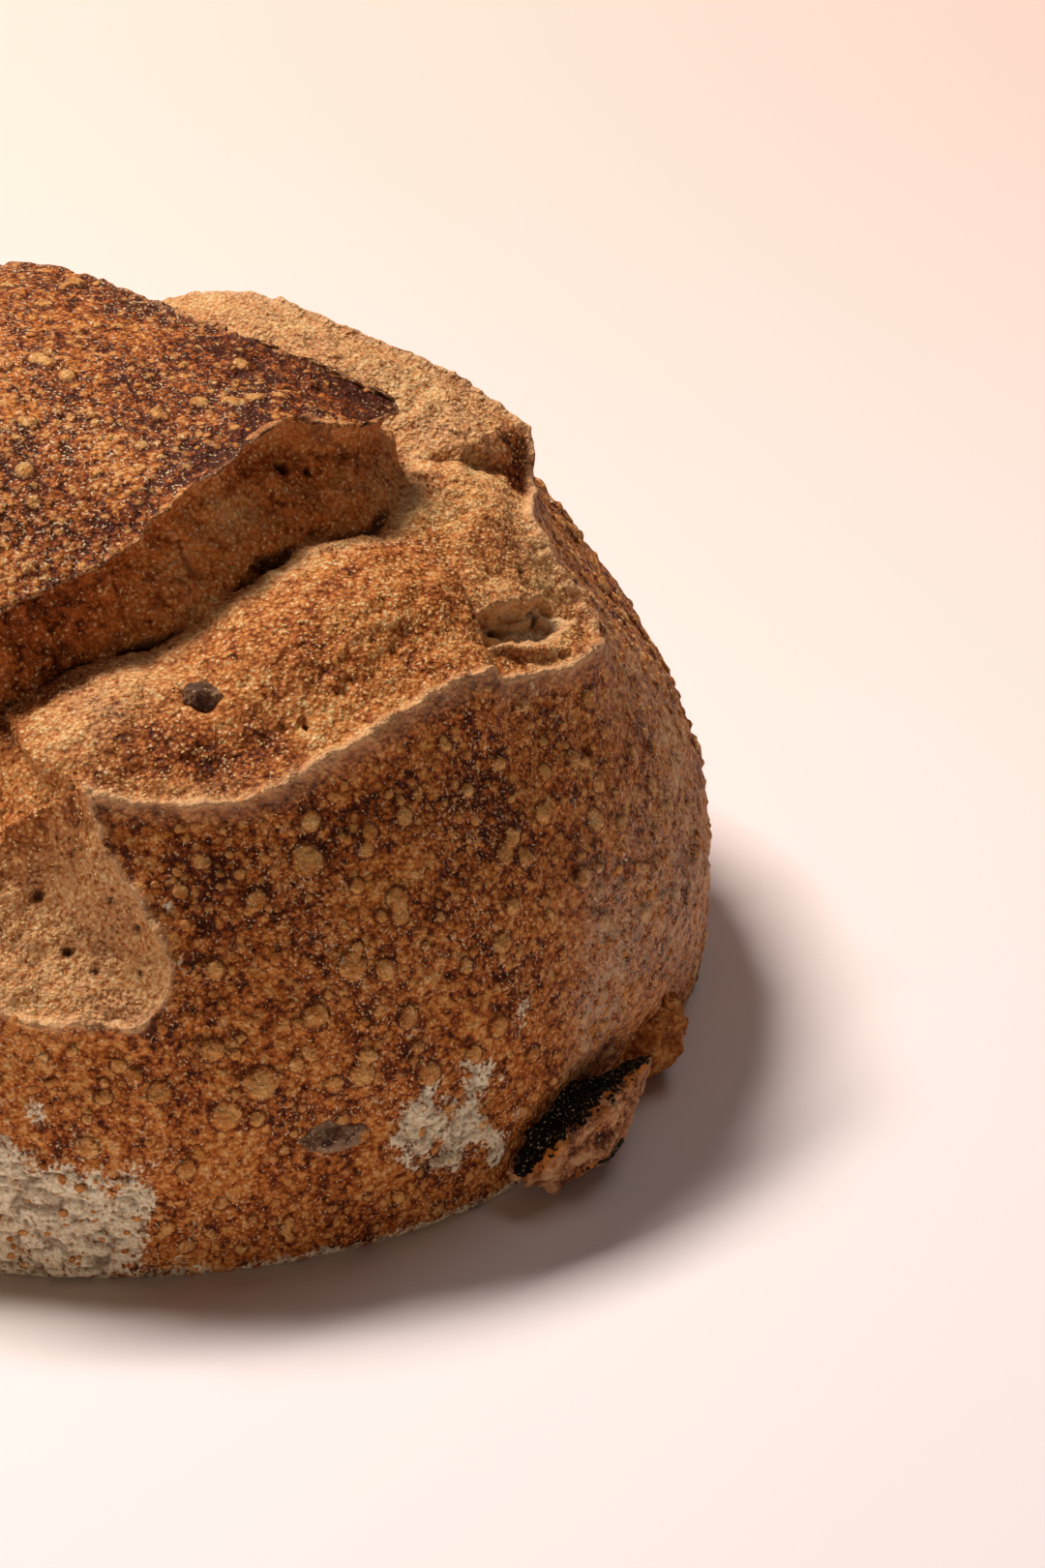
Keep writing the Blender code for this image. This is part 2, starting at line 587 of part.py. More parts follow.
def cut_seat(loaf, piece, cutters):
    """Cuts the hollow in the loaf that a nut or raisin lies in, a seat gap wider than the piece all round."""
    mesh = piece.data.copy()
    mesh.name = piece.name + "_seat"
    normals = [vertex.normal.copy() for vertex in mesh.vertices]
    for vertex, normal in zip(mesh.vertices, normals):
        vertex.co += normal * SEAT_GAP * SEAT_GAP_MARGIN
    cutter = bpy.data.objects.new(mesh.name, mesh)
    cutter.matrix_world = piece.matrix_world
    cutter.hide_render = True
    cutter.display_type = "WIRE"
    cutters.objects.link(cutter)
    cut = loaf.modifiers.new(mesh.name, "BOOLEAN")
    cut.operation = "DIFFERENCE"
    cut.object = cutter


def stand_on_origin(items, cutters):
    """Moves everything so that the middle of the bread's base box is at the origin."""
    corners = np.array([item.matrix_world @ vertex.co for item in items for vertex in item.data.vertices])
    middle = (corners.min(axis=0) + corners.max(axis=0)) / 2
    step = Matrix.Translation((-middle[0], -middle[1], 0))
    for item in (*items, *cutters):
        item.matrix_world = step @ item.matrix_world


def main():
    clear_scene()
    for name in COLOURS:
        material(name)
    bread = bpy.data.collections.new("raisin_walnut_bread")
    cutters = bpy.data.collections.new("cutters")
    bpy.context.scene.collection.children.link(bread)
    bpy.context.scene.collection.children.link(cutters)
    loaf = make_loaf(bread)
    pieces = [make_piece(*row, collection=bread) for row in SEATED_PIECES]
    for piece in pieces:
        cut_seat(loaf, piece, cutters)
    stand_on_origin([loaf, *pieces], cutters.objects)


main()
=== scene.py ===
# %% [markdown]
# # A raisin walnut loaf
#
# A round loaf, shaped by hand, slashed four times across the top and baked on a stone. The crust between the
# slashes stays as an island in the middle and as panels round it, and in the slashes the dough tears open and
# bakes paler. The frame holds the loaf as a faceted solid with its nuts and raisins. This lesson works the
# same loaf out again with a finer skin, gives it its crust, flour and blisters, and lights it on a pale
# floor.

# %% Load the frame
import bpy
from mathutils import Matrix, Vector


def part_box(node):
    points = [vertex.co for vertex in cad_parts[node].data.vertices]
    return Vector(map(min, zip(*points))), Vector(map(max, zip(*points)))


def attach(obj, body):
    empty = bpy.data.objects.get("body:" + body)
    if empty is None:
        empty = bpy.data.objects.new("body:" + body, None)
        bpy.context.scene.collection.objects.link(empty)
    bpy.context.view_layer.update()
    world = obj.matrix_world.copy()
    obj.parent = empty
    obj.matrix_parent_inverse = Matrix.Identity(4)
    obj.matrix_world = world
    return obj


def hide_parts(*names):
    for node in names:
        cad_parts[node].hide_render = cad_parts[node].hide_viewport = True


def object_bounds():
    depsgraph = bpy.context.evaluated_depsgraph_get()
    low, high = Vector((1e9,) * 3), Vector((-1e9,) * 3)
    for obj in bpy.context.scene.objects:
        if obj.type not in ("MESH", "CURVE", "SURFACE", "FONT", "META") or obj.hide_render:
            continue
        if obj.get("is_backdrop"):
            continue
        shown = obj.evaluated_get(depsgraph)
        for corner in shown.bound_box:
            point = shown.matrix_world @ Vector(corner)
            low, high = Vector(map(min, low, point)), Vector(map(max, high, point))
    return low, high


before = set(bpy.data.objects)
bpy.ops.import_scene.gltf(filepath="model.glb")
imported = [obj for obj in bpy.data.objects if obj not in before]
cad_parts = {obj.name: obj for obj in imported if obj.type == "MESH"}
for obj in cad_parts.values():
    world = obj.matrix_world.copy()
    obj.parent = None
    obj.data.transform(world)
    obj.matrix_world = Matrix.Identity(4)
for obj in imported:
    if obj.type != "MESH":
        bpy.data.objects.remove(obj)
CAD_BOX = [list(corner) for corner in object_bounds()]

import math
from types import SimpleNamespace

import bmesh
import bpy
import numpy as np
from mathutils import Matrix, Vector, geometry, kdtree, noise

MM = 0.001
print("the loaf's box in mm:", [[round(side / MM, 1) for side in corner] for corner in CAD_BOX])

# %% [markdown]
# ## The dough
#
# Before it is slashed the dough is a dome with a soft belly and a foot that tucks in. It could be sculpted,
# or spun from a drawn profile. Here two formulas give half an upright section, because the same formulas then
# say where any spot of the skin lies. The distance along the skin from the crown is kept with it.

# %% The dough's sizes and its section
RADIUS = 97.5 * MM
HEIGHT = 118.6 * MM
BELLY_HEIGHT = 30.8 * MM
BASE_RADIUS = 94.5 * MM
BASE_MIDDLE = 8 * MM
DOME_ROUNDNESS = 0.814
DOME_RISE = 1.423
FOOT_ROUNDNESS = 0.72
LEFT_STRETCH = 0.08


def dough_profile(count=500):
    """Three columns, from the crown to the middle of the base: distance along the skin, radius and height."""
    turn = np.linspace(math.pi / 2, 0, count)
    dome_radius = RADIUS * np.cos(turn) ** DOME_ROUNDNESS
    dome_height = BELLY_HEIGHT + (HEIGHT - BELLY_HEIGHT) * np.sin(turn) ** DOME_RISE
    turn = np.linspace(0, math.pi / 2, count)[1:]
    foot_radius = BASE_RADIUS + (RADIUS - BASE_RADIUS) * np.cos(turn) ** FOOT_ROUNDNESS
    foot_height = BELLY_HEIGHT * (1 - np.sin(turn) ** FOOT_ROUNDNESS)
    base_radius = np.linspace(BASE_RADIUS, BASE_MIDDLE, count // 5)[1:]
    radius = np.r_[dome_radius, foot_radius, base_radius]
    height = np.r_[dome_height, foot_height, np.zeros(len(base_radius))]
    radius[0] = 0
    steps = np.hypot(np.diff(radius), np.diff(height))
    return np.column_stack((np.r_[0, np.cumsum(steps)], radius, height))


PROFILE = dough_profile()
MAP_REACH = PROFILE[-1, 0]
SKIN_LENGTH = MAP_REACH - (BASE_RADIUS - BASE_MIDDLE)
print("from the crown to the foot along the skin:", round(SKIN_LENGTH / MM), "mm")

# %% [markdown]
# ## A flat map of the skin
#
# A baker thinks of slashes as lines on the top of the dough, so they are drawn on a flat map: a place on the
# map lies as far from the middle as the spot lies from the crown along the skin. One function takes map
# places into space, lifted square to the skin. It pushes the left side out, as the loaf is a little longer
# there, and draws the foot in at the front right.

# %% From the map into space
SLOPE_STEP = 1.5 * MM
FOOT_TUCK = 0.066
FOOT_TUCK_ANGLE = -27
FOOT_TUCK_SPREAD = 14
FOOT_TUCK_HEIGHT = 24 * MM


def polar(along, angle):
    """Map places from their distance to the middle and their angle."""
    return np.column_stack((along * np.cos(angle), along * np.sin(angle)))


def smoothstep(low, high, value):
    """0 up to low, rising softly to 1 at high. It falls where low is the larger."""
    share = np.clip((value - low) / (high - low), 0, 1)
    return share * share * (3 - 2 * share)


def hill(distance, reach):
    """1 at the top, falling off softly to all sides."""
    return np.exp(-((distance / reach) ** 2))


def girth_share(angle, height):
    """How far the dough reaches in each direction, as a share of its round radius."""
    tuck = hill(np.degrees(angle) - FOOT_TUCK_ANGLE, FOOT_TUCK_SPREAD)
    tuck = tuck * smoothstep(FOOT_TUCK_HEIGHT, 0, height)
    return 1 + LEFT_STRETCH * np.clip(-np.cos(angle), 0, 1) ** 2 - FOOT_TUCK * tuck


def skin_points(places, lift):
    """Where map places lie in space, raised by lift square to the dough's skin."""
    along = np.hypot(places[:, 0], places[:, 1])
    angle = np.arctan2(places[:, 1], places[:, 0])
    reached, radii, heights = PROFILE.T
    ahead = np.minimum(along + SLOPE_STEP, MAP_REACH)
    behind = np.maximum(along - SLOPE_STEP, 0)
    out = np.interp(ahead, reached, radii) - np.interp(behind, reached, radii)
    down = np.interp(behind, reached, heights) - np.interp(ahead, reached, heights)
    length = np.maximum(np.hypot(out, down), 1e-9)
    height = np.interp(along, reached, heights) + lift * out / length
    radius = (np.interp(along, reached, radii) + lift * down / length) * girth_share(angle, height)
    return np.column_stack((radius * np.cos(angle), radius * np.sin(angle), height))


# %% [markdown]
# ## The slashes
#
# The blade leaves straight cuts, and the oven opens them into wide, uneven mouths. What matters afterwards is
# the edge of each piece of crust, so two closed outlines are drawn on the map: the island's edge, and the
# outer edge of the opening round it. Two smaller outlines follow, for a late tear and for a hollow where the
# dough burst. Each point also says how far the crust stands up or drops there, in millimetres. A spline
# through a few points makes a smooth edge, and the sides that the photograph doesn't show are plain bows.

# %% The island's edge
ISLAND_FRONT_EDGE = [
    (43.5, -5, 1.2), (43.5, -10, 2), (39, -17, 2), (34, -20.5, 2.5), (27, -22.5, 3), (22, -28, 2.5),
    (16, -37, 2), (8, -44.5, 0.8), (0, -53, -1.5), (-20, -63, -2),
]
ISLAND_LEFT_CORNER = (-75, -11, 1)
ISLAND_BACK_EDGE = [
    (-26, 38, 1), (-8, 23, 1), (1, 14.5, 1), (10, 8.5, 1), (18.5, 2, 1), (35, -3.5, 1), (43.5, -5, 1.2),
]
ISLAND_BOW = 4
ISLAND_BOW_RISE = 3

# %% The opening's edge: the front rim, the right end, the back ear, the left rims and the front pocket
FRONT_RIM = [
    (-1, -92, 3.5), (5, -93.7, 2.5), (14, -93.8, 2), (23, -92.3, 2), (31, -89, 2.3), (39, -83, 2.5),
    (46, -77, 2.7), (61, -61.5, 3.6), (66.5, -56.2, 4.4), (70, -55.8, 2.6), (77, -49.7, 2.4), (84, -42, 3),
    (89.5, -32, 4),
]
RIGHT_END = [
    (89.5, -32, 4), (91, -27, 1.5), (87, -21, 1), (80, -16.5, 1), (74.5, -9, 1), (76, 7, 1.5),
    (70, 14.5, 6.5),
]
BACK_EAR = [
    (70, 14.5, 6.5), (61, 19, 5), (46, 24.5, 4), (32, 29, 4.2), (20, 35.5, 4.6), (7, 46, 3.5), (-6, 61, 2.5),
]
BACK_LEFT_RIM = ((-56, 70, 3), (-93, 27, 3))
FRONT_LEFT_RIM = ((-90, -41, 3), (-54, -80, 3))
RIM_BOW = 2
RIM_BOW_RISE = 2.5
POCKET_RIM = [
    (-36, -94, 1.5), (-35, -108, 1.5), (-19, -124.4, 2), (4, -127.6, 2), (11, -126.3, 2), (15, -120.5, 2),
    (13.5, -114, 1.6), (4.5, -103.5, 1.6), (1, -98, 2.2), (-1, -92, 3.5),
]
BACK_CROSSING = (-22, 75, 2)
LEFT_CROSSING = (-98, -5, 2)
SLASH_END_RISE = 1.5
BACK_LEFT_SLASH_TIPS = ((1, 101), (-118, -31))
BACK_RIGHT_SLASH_TIP = (-58, 96)
FRONT_LEFT_SLASH_TIP = (-121, 18)
FRONT_RIGHT_SLASH_TIP = (-67, -110)
SLASH_END_SHAPE = ((0.5, 0.8), (0.88, 0.45))

# %% The front left slash tore later and deeper than the band beside it: an outline with the drop along it
LATE_TEAR = [
    (-2, -91.5, 0), (-8, -89, 2), (-13, -84, 3), (-17, -78, 3), (-23, -71, 2.5), (-33, -66, 0), (-45, -80, 0),
    (-30, -106, 0), (-14, -111, 0), (-2, -91.5, 0),
]

# %% In the band's right corner the dough burst into a hollow with upright walls: an outline with its depth
CORNER_HOLLOW = [
    (69.5, -48.8, 3.4), (66.8, -45, 3.4), (67, -41.5, 3.4), (71.5, -36.5, 3.2), (76.5, -31, 3),
    (80.5, -27.2, 2.8), (83.4, -27.2, 2.6), (84.2, -30.2, 2.6), (82.6, -34.8, 2.8), (79, -40.4, 3),
    (75, -45.1, 3.2), (69.5, -48.8, 3.4),
]

# %% Smooth closed outlines through those points
EDGE_SPACING = 0.75 * MM
SPLINE_STEPS = 20


def smooth_stroke(points, spacing):
    """Evenly spaced points of a spline through the given ones, in metres, without its last."""
    knots = np.array(points, float) * MM
    knots = np.vstack((2 * knots[0] - knots[1], knots, 2 * knots[-1] - knots[-2]))
    t = np.linspace(0, 1, SPLINE_STEPS)[:, None]
    spans = []
    for before, start, end, after in zip(knots, knots[1:], knots[2:], knots[3:]):
        spans.append(
            0.5 * (2 * start + (end - before) * t + (2 * before - 5 * start + 4 * end - after) * t**2
                   + (3 * start - before - 3 * end + after) * t**3)
        )
    curve = np.vstack(spans)
    along = np.r_[0, np.cumsum(np.hypot(*np.diff(curve[:, :2], axis=0).T))]
    even = np.linspace(0, along[-1], max(2, round(along[-1] / spacing)) + 1)[:-1]
    return np.column_stack([np.interp(even, along, column) for column in curve.T])


def bowed(start, end, bow, rise):
    """A stroke that bows out to the right of its way, with the crust's rise at its middle."""
    along = np.subtract(end, start)[:2]
    middle = np.add(start, end)[:2] / 2 + bow * np.array((along[1], -along[0])) / np.linalg.norm(along)
    return [start, (*middle, rise), end]


def slash_end(start, tip, end):
    """The narrowing, rounded end of a slash, between two corners of crust."""
    root = np.add(start, end)[:2] / 2
    sides = []
    for corner in (start, end):
        for along, width in SLASH_END_SHAPE:
            place = root + along * (tip - root) + width * (np.array(corner[:2]) - root)
            sides.append((*place, SLASH_END_RISE))
    return [start, sides[0], sides[1], (*tip, SLASH_END_RISE), sides[3], sides[2], end]


def closed_line(*strokes):
    """The points of strokes that follow on each other round an outline."""
    return np.vstack([smooth_stroke(stroke, EDGE_SPACING) for stroke in strokes])


ISLAND = closed_line(
    ISLAND_FRONT_EDGE,
    bowed(ISLAND_FRONT_EDGE[-1], ISLAND_LEFT_CORNER, -ISLAND_BOW, ISLAND_BOW_RISE),
    bowed(ISLAND_LEFT_CORNER, ISLAND_BACK_EDGE[0], -ISLAND_BOW, ISLAND_BOW_RISE),
    ISLAND_BACK_EDGE,
)
OPENING = closed_line(
    FRONT_RIM,
    RIGHT_END,
    BACK_EAR,
    slash_end(BACK_EAR[-1], BACK_LEFT_SLASH_TIPS[0], BACK_CROSSING),
    slash_end(BACK_CROSSING, BACK_RIGHT_SLASH_TIP, BACK_LEFT_RIM[0]),
    bowed(*BACK_LEFT_RIM, RIM_BOW, RIM_BOW_RISE),
    slash_end(BACK_LEFT_RIM[1], FRONT_LEFT_SLASH_TIP, LEFT_CROSSING),
    slash_end(LEFT_CROSSING, BACK_LEFT_SLASH_TIPS[1], FRONT_LEFT_RIM[0]),
    bowed(*FRONT_LEFT_RIM, RIM_BOW, RIM_BOW_RISE),
    slash_end(FRONT_LEFT_RIM[1], FRONT_RIGHT_SLASH_TIP, POCKET_RIM[0]),
    POCKET_RIM,
)
TEAR = closed_line(LATE_TEAR)
HOLLOW = closed_line(CORNER_HOLLOW)
print("points along the outlines:", [len(line) for line in (ISLAND, OPENING, TEAR, HOLLOW)])

# %% [markdown]
# ## How far is a spot from the torn edge?
#
# Rims, walls and colours all follow the distance to an edge. Comparing each of a hundred thousand spots with
# each piece of the line would be slow, so a k-d tree finds the nearest point of the line first, and only the
# two short pieces that meet there are measured.

# %% Distance to an outline
def tree_of(points):
    """A k-d tree of points, which answers what lies near a place."""
    tree = kdtree.KDTree(len(points))
    for index, point in enumerate(points.tolist()):
        tree.insert(point if len(point) == 3 else (*point, 0), index)
    tree.balance()
    return tree


def inside(line, places):
    """Whether each place lies inside a closed line: a way out crosses it an odd number of times."""
    start, end = line, np.roll(line, -1, axis=0)
    odd = np.zeros(len(places), bool)
    for (x0, y0), (x1, y1) in zip(start[:, :2], end[:, :2]):
        if y0 != y1:
            spans = (places[:, 1] < y0) != (places[:, 1] < y1)
            odd ^= spans & (places[:, 0] < x0 + (x1 - x0) * (places[:, 1] - y0) / (y1 - y0))
    return odd


def nearest_on(line, places):
    """Each place's distance to the closed line, the nearest point with its rise, and whether it is inside."""
    tree = tree_of(line[:, :2])
    nearest = np.array([tree.find((x, y, 0))[1] for x, y in places.tolist()])
    distance = np.full(len(places), np.inf)
    foot = np.empty((len(places), 3))
    for first in (nearest - 1, nearest):
        start, end = line[first], line[(first + 1) % len(line)]
        along = (end - start)[:, :2]
        share = np.clip(((places - start[:, :2]) * along).sum(1) / (along**2).sum(1), 0, 1)
        point = start + share[:, None] * (end - start)
        gap = np.hypot(*(places - point[:, :2]).T)
        closer = gap < distance
        distance[closer] = gap[closer]
        foot[closer] = point[closer]
    return distance, foot, inside(line, places)


# %% [markdown]
# ## Noise for everything uneven
#
# Nothing on a loaf is even. One helper gives smooth noise at any points, in waves of a chosen size in metres,
# so that each kind of unevenness can be named by its size and height.

# %% Noise helpers
def waves(points, size, seed=0.0):
    """Smooth noise between about -1 and 1, in waves of the given size, at points on the map or in space."""
    if points.shape[1] == 2:
        points = np.column_stack((points, np.zeros(len(points))))
    return np.array([noise.noise(row) for row in (points / size + seed).tolist()])


def rounded_fade(distance, reach):
    """1 at the edge, where it is level, and fading away from it."""
    return (1 + distance / reach) * np.exp(-distance / reach)


# %% [markdown]
# ## The form of the skin
#
# Crust curls up towards its edge, the torn dough falls away from the island in a deep wall and swells back up
# to the rim as a soft band, and the ends of the slashes are shallow pockets. Each is a short formula of the
# distance to the edges. They are the solid's own formulas, with three fine things added: a thin crest along
# each lip, lips that wander a little to the side, as torn crust does, and a narrow crevice in the groove.

# %% Sizes of rims, walls and bands
UNEVENNESS = 1.1 * MM
UNEVENNESS_SIZE = 34 * MM
PANEL_CURL = 3.0 * MM
RIM_LEDGE = 1.0 * MM
RIM_FALL = 0.75 * MM
ISLAND_CURL = 4.0 * MM
ISLAND_STEP = 2.6 * MM
ISLAND_UNDERCUT = 2.4 * MM
ISLAND_UNDERCUT_REACH = 4.0 * MM
GROOVE_PLACE = 0.32
GROOVE_SOFTNESS = 1.2 * MM
BAND_SWELL = 1.8
FULL_DEPTH_WIDTH = 25 * MM
GROOVE_ANGLES = (-180, -130, -60, -28, -2, 24, 60, 130)
GROOVE_DEPTHS = tuple(d * MM for d in (10, 12, 12.5, 10.5, 7, 11, 14, 11))
ISLAND_RISE_PLACES = tuple(d * MM for d in (-8, 6, 20, 40))
ISLAND_RISES = tuple(d * MM for d in (0, 1.5, 4.5, 5.5))
ISLAND_CENTRE = (-18 * MM, -12 * MM)
POCKET_DIP = 3.0 * MM
POCKET_EDGE = 9 * MM
POCKET_ACROSS = (0.55, 0.8)
POCKET_FROM_ISLAND = (30 * MM, 48 * MM)
LATE_TEAR_REACH = 8 * MM
LATE_TEAR_LIP = 0.25
HOLLOW_WALL = 1.3 * MM
HOLLOW_LIP = 0.25
HOLLOW_LIP_REACH = 1.2 * MM
CREVICE_DEPTH = 2.2 * MM
CREVICE_WIDTH = 0.9 * MM
CREVICE_OPENING = (12 * MM, 20 * MM)
CREVICE_PATCHES = 8 * MM
FOOT_FADE = 25 * MM
LIP_CREST = 0.7 * MM
LIP_WIDTH = 0.8 * MM
CREST_LONG_WAVES = 5 * MM
CREST_SHORT_WAVES = 1.7 * MM
LIP_WANDER = 0.55 * MM
HOLLOW_WANDER = 1.6 * MM
LIP_WANDER_REACH = 2.5 * MM
LIP_WANDER_SIZE = 3.2 * MM
SWELLINGS = (
    (67.5, -62, 6, 2.2),
    (90, 14, 26, -5.2),
    (36, 50, 34, -6.0),
    (0, 68, 26, -4.5),
    (-17, -74, 9, 1.5),
    (-13, -97, 11, -2.2),
)


# %% The height and the way of each spot
def groove_depth(places):
    """How deep the groove under the island's edge is in each direction."""
    angle = np.degrees(np.arctan2(places[:, 1] - ISLAND_CENTRE[1], places[:, 0] - ISLAND_CENTRE[0]))
    return np.interp(angle, GROOVE_ANGLES, GROOVE_DEPTHS, period=360)


def unevenness(places):
    """Slow waves of a dough that was shaped by hand, with its few larger swellings and hollows."""
    flat = np.column_stack((places / UNEVENNESS_SIZE, np.full(len(places), 0.7)))
    height = UNEVENNESS * waves(flat, 1)
    for x, y, reach, rise in SWELLINGS:
        height += rise * MM * hill(np.hypot(places[:, 0] - x * MM, places[:, 1] - y * MM), reach * MM)
    return height


def crest(edge, distance):
    """The thin, uneven crest along a lip. There is none where the crust rolls down to its edge."""
    long_waves = waves(edge[:, :2], CREST_LONG_WAVES, 3.1)
    short_waves = waves(edge[:, :2], CREST_SHORT_WAVES, 8.2)
    uneven = 1 + 0.7 * long_waves + 0.5 * short_waves
    return LIP_CREST * uneven * hill(distance, LIP_WIDTH) * smoothstep(-0.5, 1, edge[:, 2] / MM)


def torn_floor(places, from_island, from_rim, rim_rise, island_rise):
    """The torn dough, how far across it each place lies, and how much it is in a pocket or the crevice."""
    width = from_island + from_rim
    across = from_island / np.maximum(width, 1e-9)
    deepest = groove_depth(places) * np.minimum(1, width / FULL_DEPTH_WIDTH)
    wall = ISLAND_STEP + (deepest - ISLAND_STEP) * across / GROOVE_PLACE
    rim_foot = RIM_LEDGE - rim_rise
    up_the_band = np.clip((across - GROOVE_PLACE) / (1 - GROOVE_PLACE), 0, 1)
    band = rim_foot + (deepest - rim_foot) * (1 - up_the_band) ** BAND_SWELL
    floor = -(wall + band - np.hypot(wall - band, GROOVE_SOFTNESS)) / 2
    floor += island_rise * (1 - np.minimum(1, across / GROOVE_PLACE))
    pocket = smoothstep(*POCKET_ACROSS, across) * smoothstep(*POCKET_FROM_ISLAND, from_island)
    floor -= POCKET_DIP * pocket * smoothstep(0, POCKET_EDGE, from_rim)
    crevice = hill(wall - band, CREVICE_WIDTH) * (1 - pocket) * smoothstep(*CREVICE_OPENING, width)
    crevice *= smoothstep(-0.35, 0.25, waves(places, CREVICE_PATCHES, 12.3))
    return floor, across, pocket, crevice


def late_tear(places):
    """The deeper tear: it drops inside its outline, with a small lip outside."""
    distance, edge, within = nearest_on(TEAR, places)
    drop = (1 + LATE_TEAR_LIP) * hill(distance, RIM_FALL) - np.exp(-distance / LATE_TEAR_REACH)
    return edge[:, 2] * np.where(within, drop, LATE_TEAR_LIP * rounded_fade(distance, RIM_FALL))


def corner_hollow(places):
    """The hollow in the band's corner: its drop, where its floor is, and how far and where its edge is."""
    distance, edge, within = nearest_on(HOLLOW, places)
    lip = HOLLOW_LIP * rounded_fade(distance, HOLLOW_LIP_REACH)
    inner = smoothstep(0, HOLLOW_WALL, distance) * within
    return edge[:, 2] * np.where(within, HOLLOW_LIP - (1 + HOLLOW_LIP) * inner, lip), inner, distance, edge


def relief(places):
    """What is known of the skin at map places: its lift, where it moves to, how it lies to the edges."""
    from_rim, rim, in_opening = nearest_on(OPENING, places)
    from_island, edge, on_island = nearest_on(ISLAND, places)
    torn = in_opening & ~on_island
    island_rise = np.interp(-places[:, 0], ISLAND_RISE_PLACES, ISLAND_RISES)

    panel = rim[:, 2] * rounded_fade(from_rim, PANEL_CURL)
    island = island_rise + edge[:, 2] * rounded_fade(from_island, ISLAND_CURL)
    floor, across, pocket, crevice = torn_floor(places, from_island, from_rim, rim[:, 2], island_rise)
    hollow_drop, hollow, from_hollow, hollow_edge = corner_hollow(places)
    floor += late_tear(places) + hollow_drop - CREVICE_DEPTH * crevice
    opening = floor + (island_rise + edge[:, 2] - floor) * hill(from_island, RIM_FALL)
    opening += (rim[:, 2] - floor) * hill(from_rim, RIM_FALL)
    lift = np.where(on_island, island, np.where(torn, opening, panel)) + unevenness(places)
    lift += crest(rim, from_rim) + crest(edge, from_island)
    fade = smoothstep(SKIN_LENGTH, SKIN_LENGTH - FOOT_FADE, np.hypot(*places.T))
    lift *= fade

    outward = places - edge[:, :2]
    outward /= np.maximum(np.hypot(*outward.T), 1e-9)[:, None]
    outward[on_island] *= -1
    on_the_line = from_island < EDGE_SPACING / 15
    from_centre = places - np.array(ISLAND_CENTRE)
    outward[on_the_line] = (from_centre / np.hypot(*from_centre.T)[:, None])[on_the_line]
    reach = np.where(on_island, ISLAND_UNDERCUT_REACH, RIM_FALL / 2)
    moved = places + outward * (ISLAND_UNDERCUT * hill(from_island, reach))[:, None]
    lips = [(rim, from_rim, LIP_WANDER), (edge, from_island, LIP_WANDER)]
    lips.append((hollow_edge, from_hollow, HOLLOW_WANDER))
    for foot, distance, most in lips:
        wander = np.column_stack([waves(foot[:, :2], LIP_WANDER_SIZE, seed) for seed in (5.5, 21.3)])
        moved += most * wander * (fade * hill(distance, LIP_WANDER_REACH))[:, None]
    return SimpleNamespace(
        lift=lift, moved=moved, torn=torn, on_island=on_island, from_rim=from_rim, from_island=from_island,
        from_hollow=from_hollow, across=across, pocket=pocket * torn, crevice=crevice * torn,
        hollow=hollow * torn,
    )


# %% [markdown]
# ## A skin of triangles
#
# A grid of squares would cut the lips into saw teeth. The triangles here are a Delaunay triangulation, which
# is told to keep an edge along the outlines of island, opening and hollow. The spots lie in rings round the
# crown, close together on the side that the photograph shows and twice as far apart elsewhere, with rows
# beside each lip. The map is first drawn without distortion, so that an even triangle there is an even
# triangle on the loaf.

# %% Where the spots of the skin lie
FINE = 0.74 * MM
LIP_ROWS = (0.32 * MM, 0.7 * MM, 1.2 * MM)
BASE_SPACING = 5 * MM
FINE_SIDE_LEFT = -32 * MM
FINE_SIDE_BACK = 56 * MM
ROW_CLEARANCE = 0.97
ROOM_BESIDE_ROWS = 0.6


def ring_places():
    """Map places in rings round the crown, down to the base's middle, evenly spaced on the true skin."""
    rings = [np.zeros((1, 2))]
    along = FINE
    while along < SKIN_LENGTH:
        girth = 2 * math.pi * np.interp(along, PROFILE[:, 0], PROFILE[:, 1])
        number = np.arange(2 * max(3, round(girth / FINE / 2)))
        ring = polar(along, 2 * math.pi * (number + len(rings) % 2 / 2) / len(number))
        seen = (ring[:, 0] > FINE_SIDE_LEFT) & (ring[:, 1] < FINE_SIDE_BACK)
        rings.append(ring[seen | ((number + len(rings)) % 2 == 0) & (len(rings) % 2 == 0)])
        along += FINE * math.sin(math.pi / 3)
    spacing = 2 * FINE
    while along < MAP_REACH - BASE_SPACING / 2:
        girth = 2 * math.pi * np.interp(along, PROFILE[:, 0], PROFILE[:, 1])
        count = max(6, round(girth / spacing))
        rings.append(polar(along, 2 * math.pi * (np.arange(count) + len(rings) % 2 / 2) / count))
        along += spacing * math.sin(math.pi / 3)
        spacing = min(BASE_SPACING, spacing * 1.2)
    rings.append(polar(MAP_REACH, np.arange(6) * math.pi / 3))
    return rings


def rows_beside(line):
    """Rows of places at both sides of a closed line, each with its distance to the line."""
    along = np.roll(line, -1, axis=0)[:, :2] - np.roll(line, 1, axis=0)[:, :2]
    across = np.column_stack((along[:, 1], -along[:, 0])) / np.hypot(*along.T)[:, None]
    return [(line[:, :2] + across * side * offset, offset) for offset in LIP_ROWS for side in (-1, 1)]


def undistorted(places):
    """The places drawn on a plane where small shapes of the true skin keep their form."""
    radius = np.maximum(PROFILE[:, 1], MM)
    grown = np.r_[0, np.cumsum(np.diff(PROFILE[:, 0]) / ((radius[1:] + radius[:-1]) / 2))]
    angle = np.arctan2(places[:, 1], places[:, 0])
    return polar(np.exp(np.interp(np.hypot(*places.T), PROFILE[:, 0], grown)) - 1, angle)


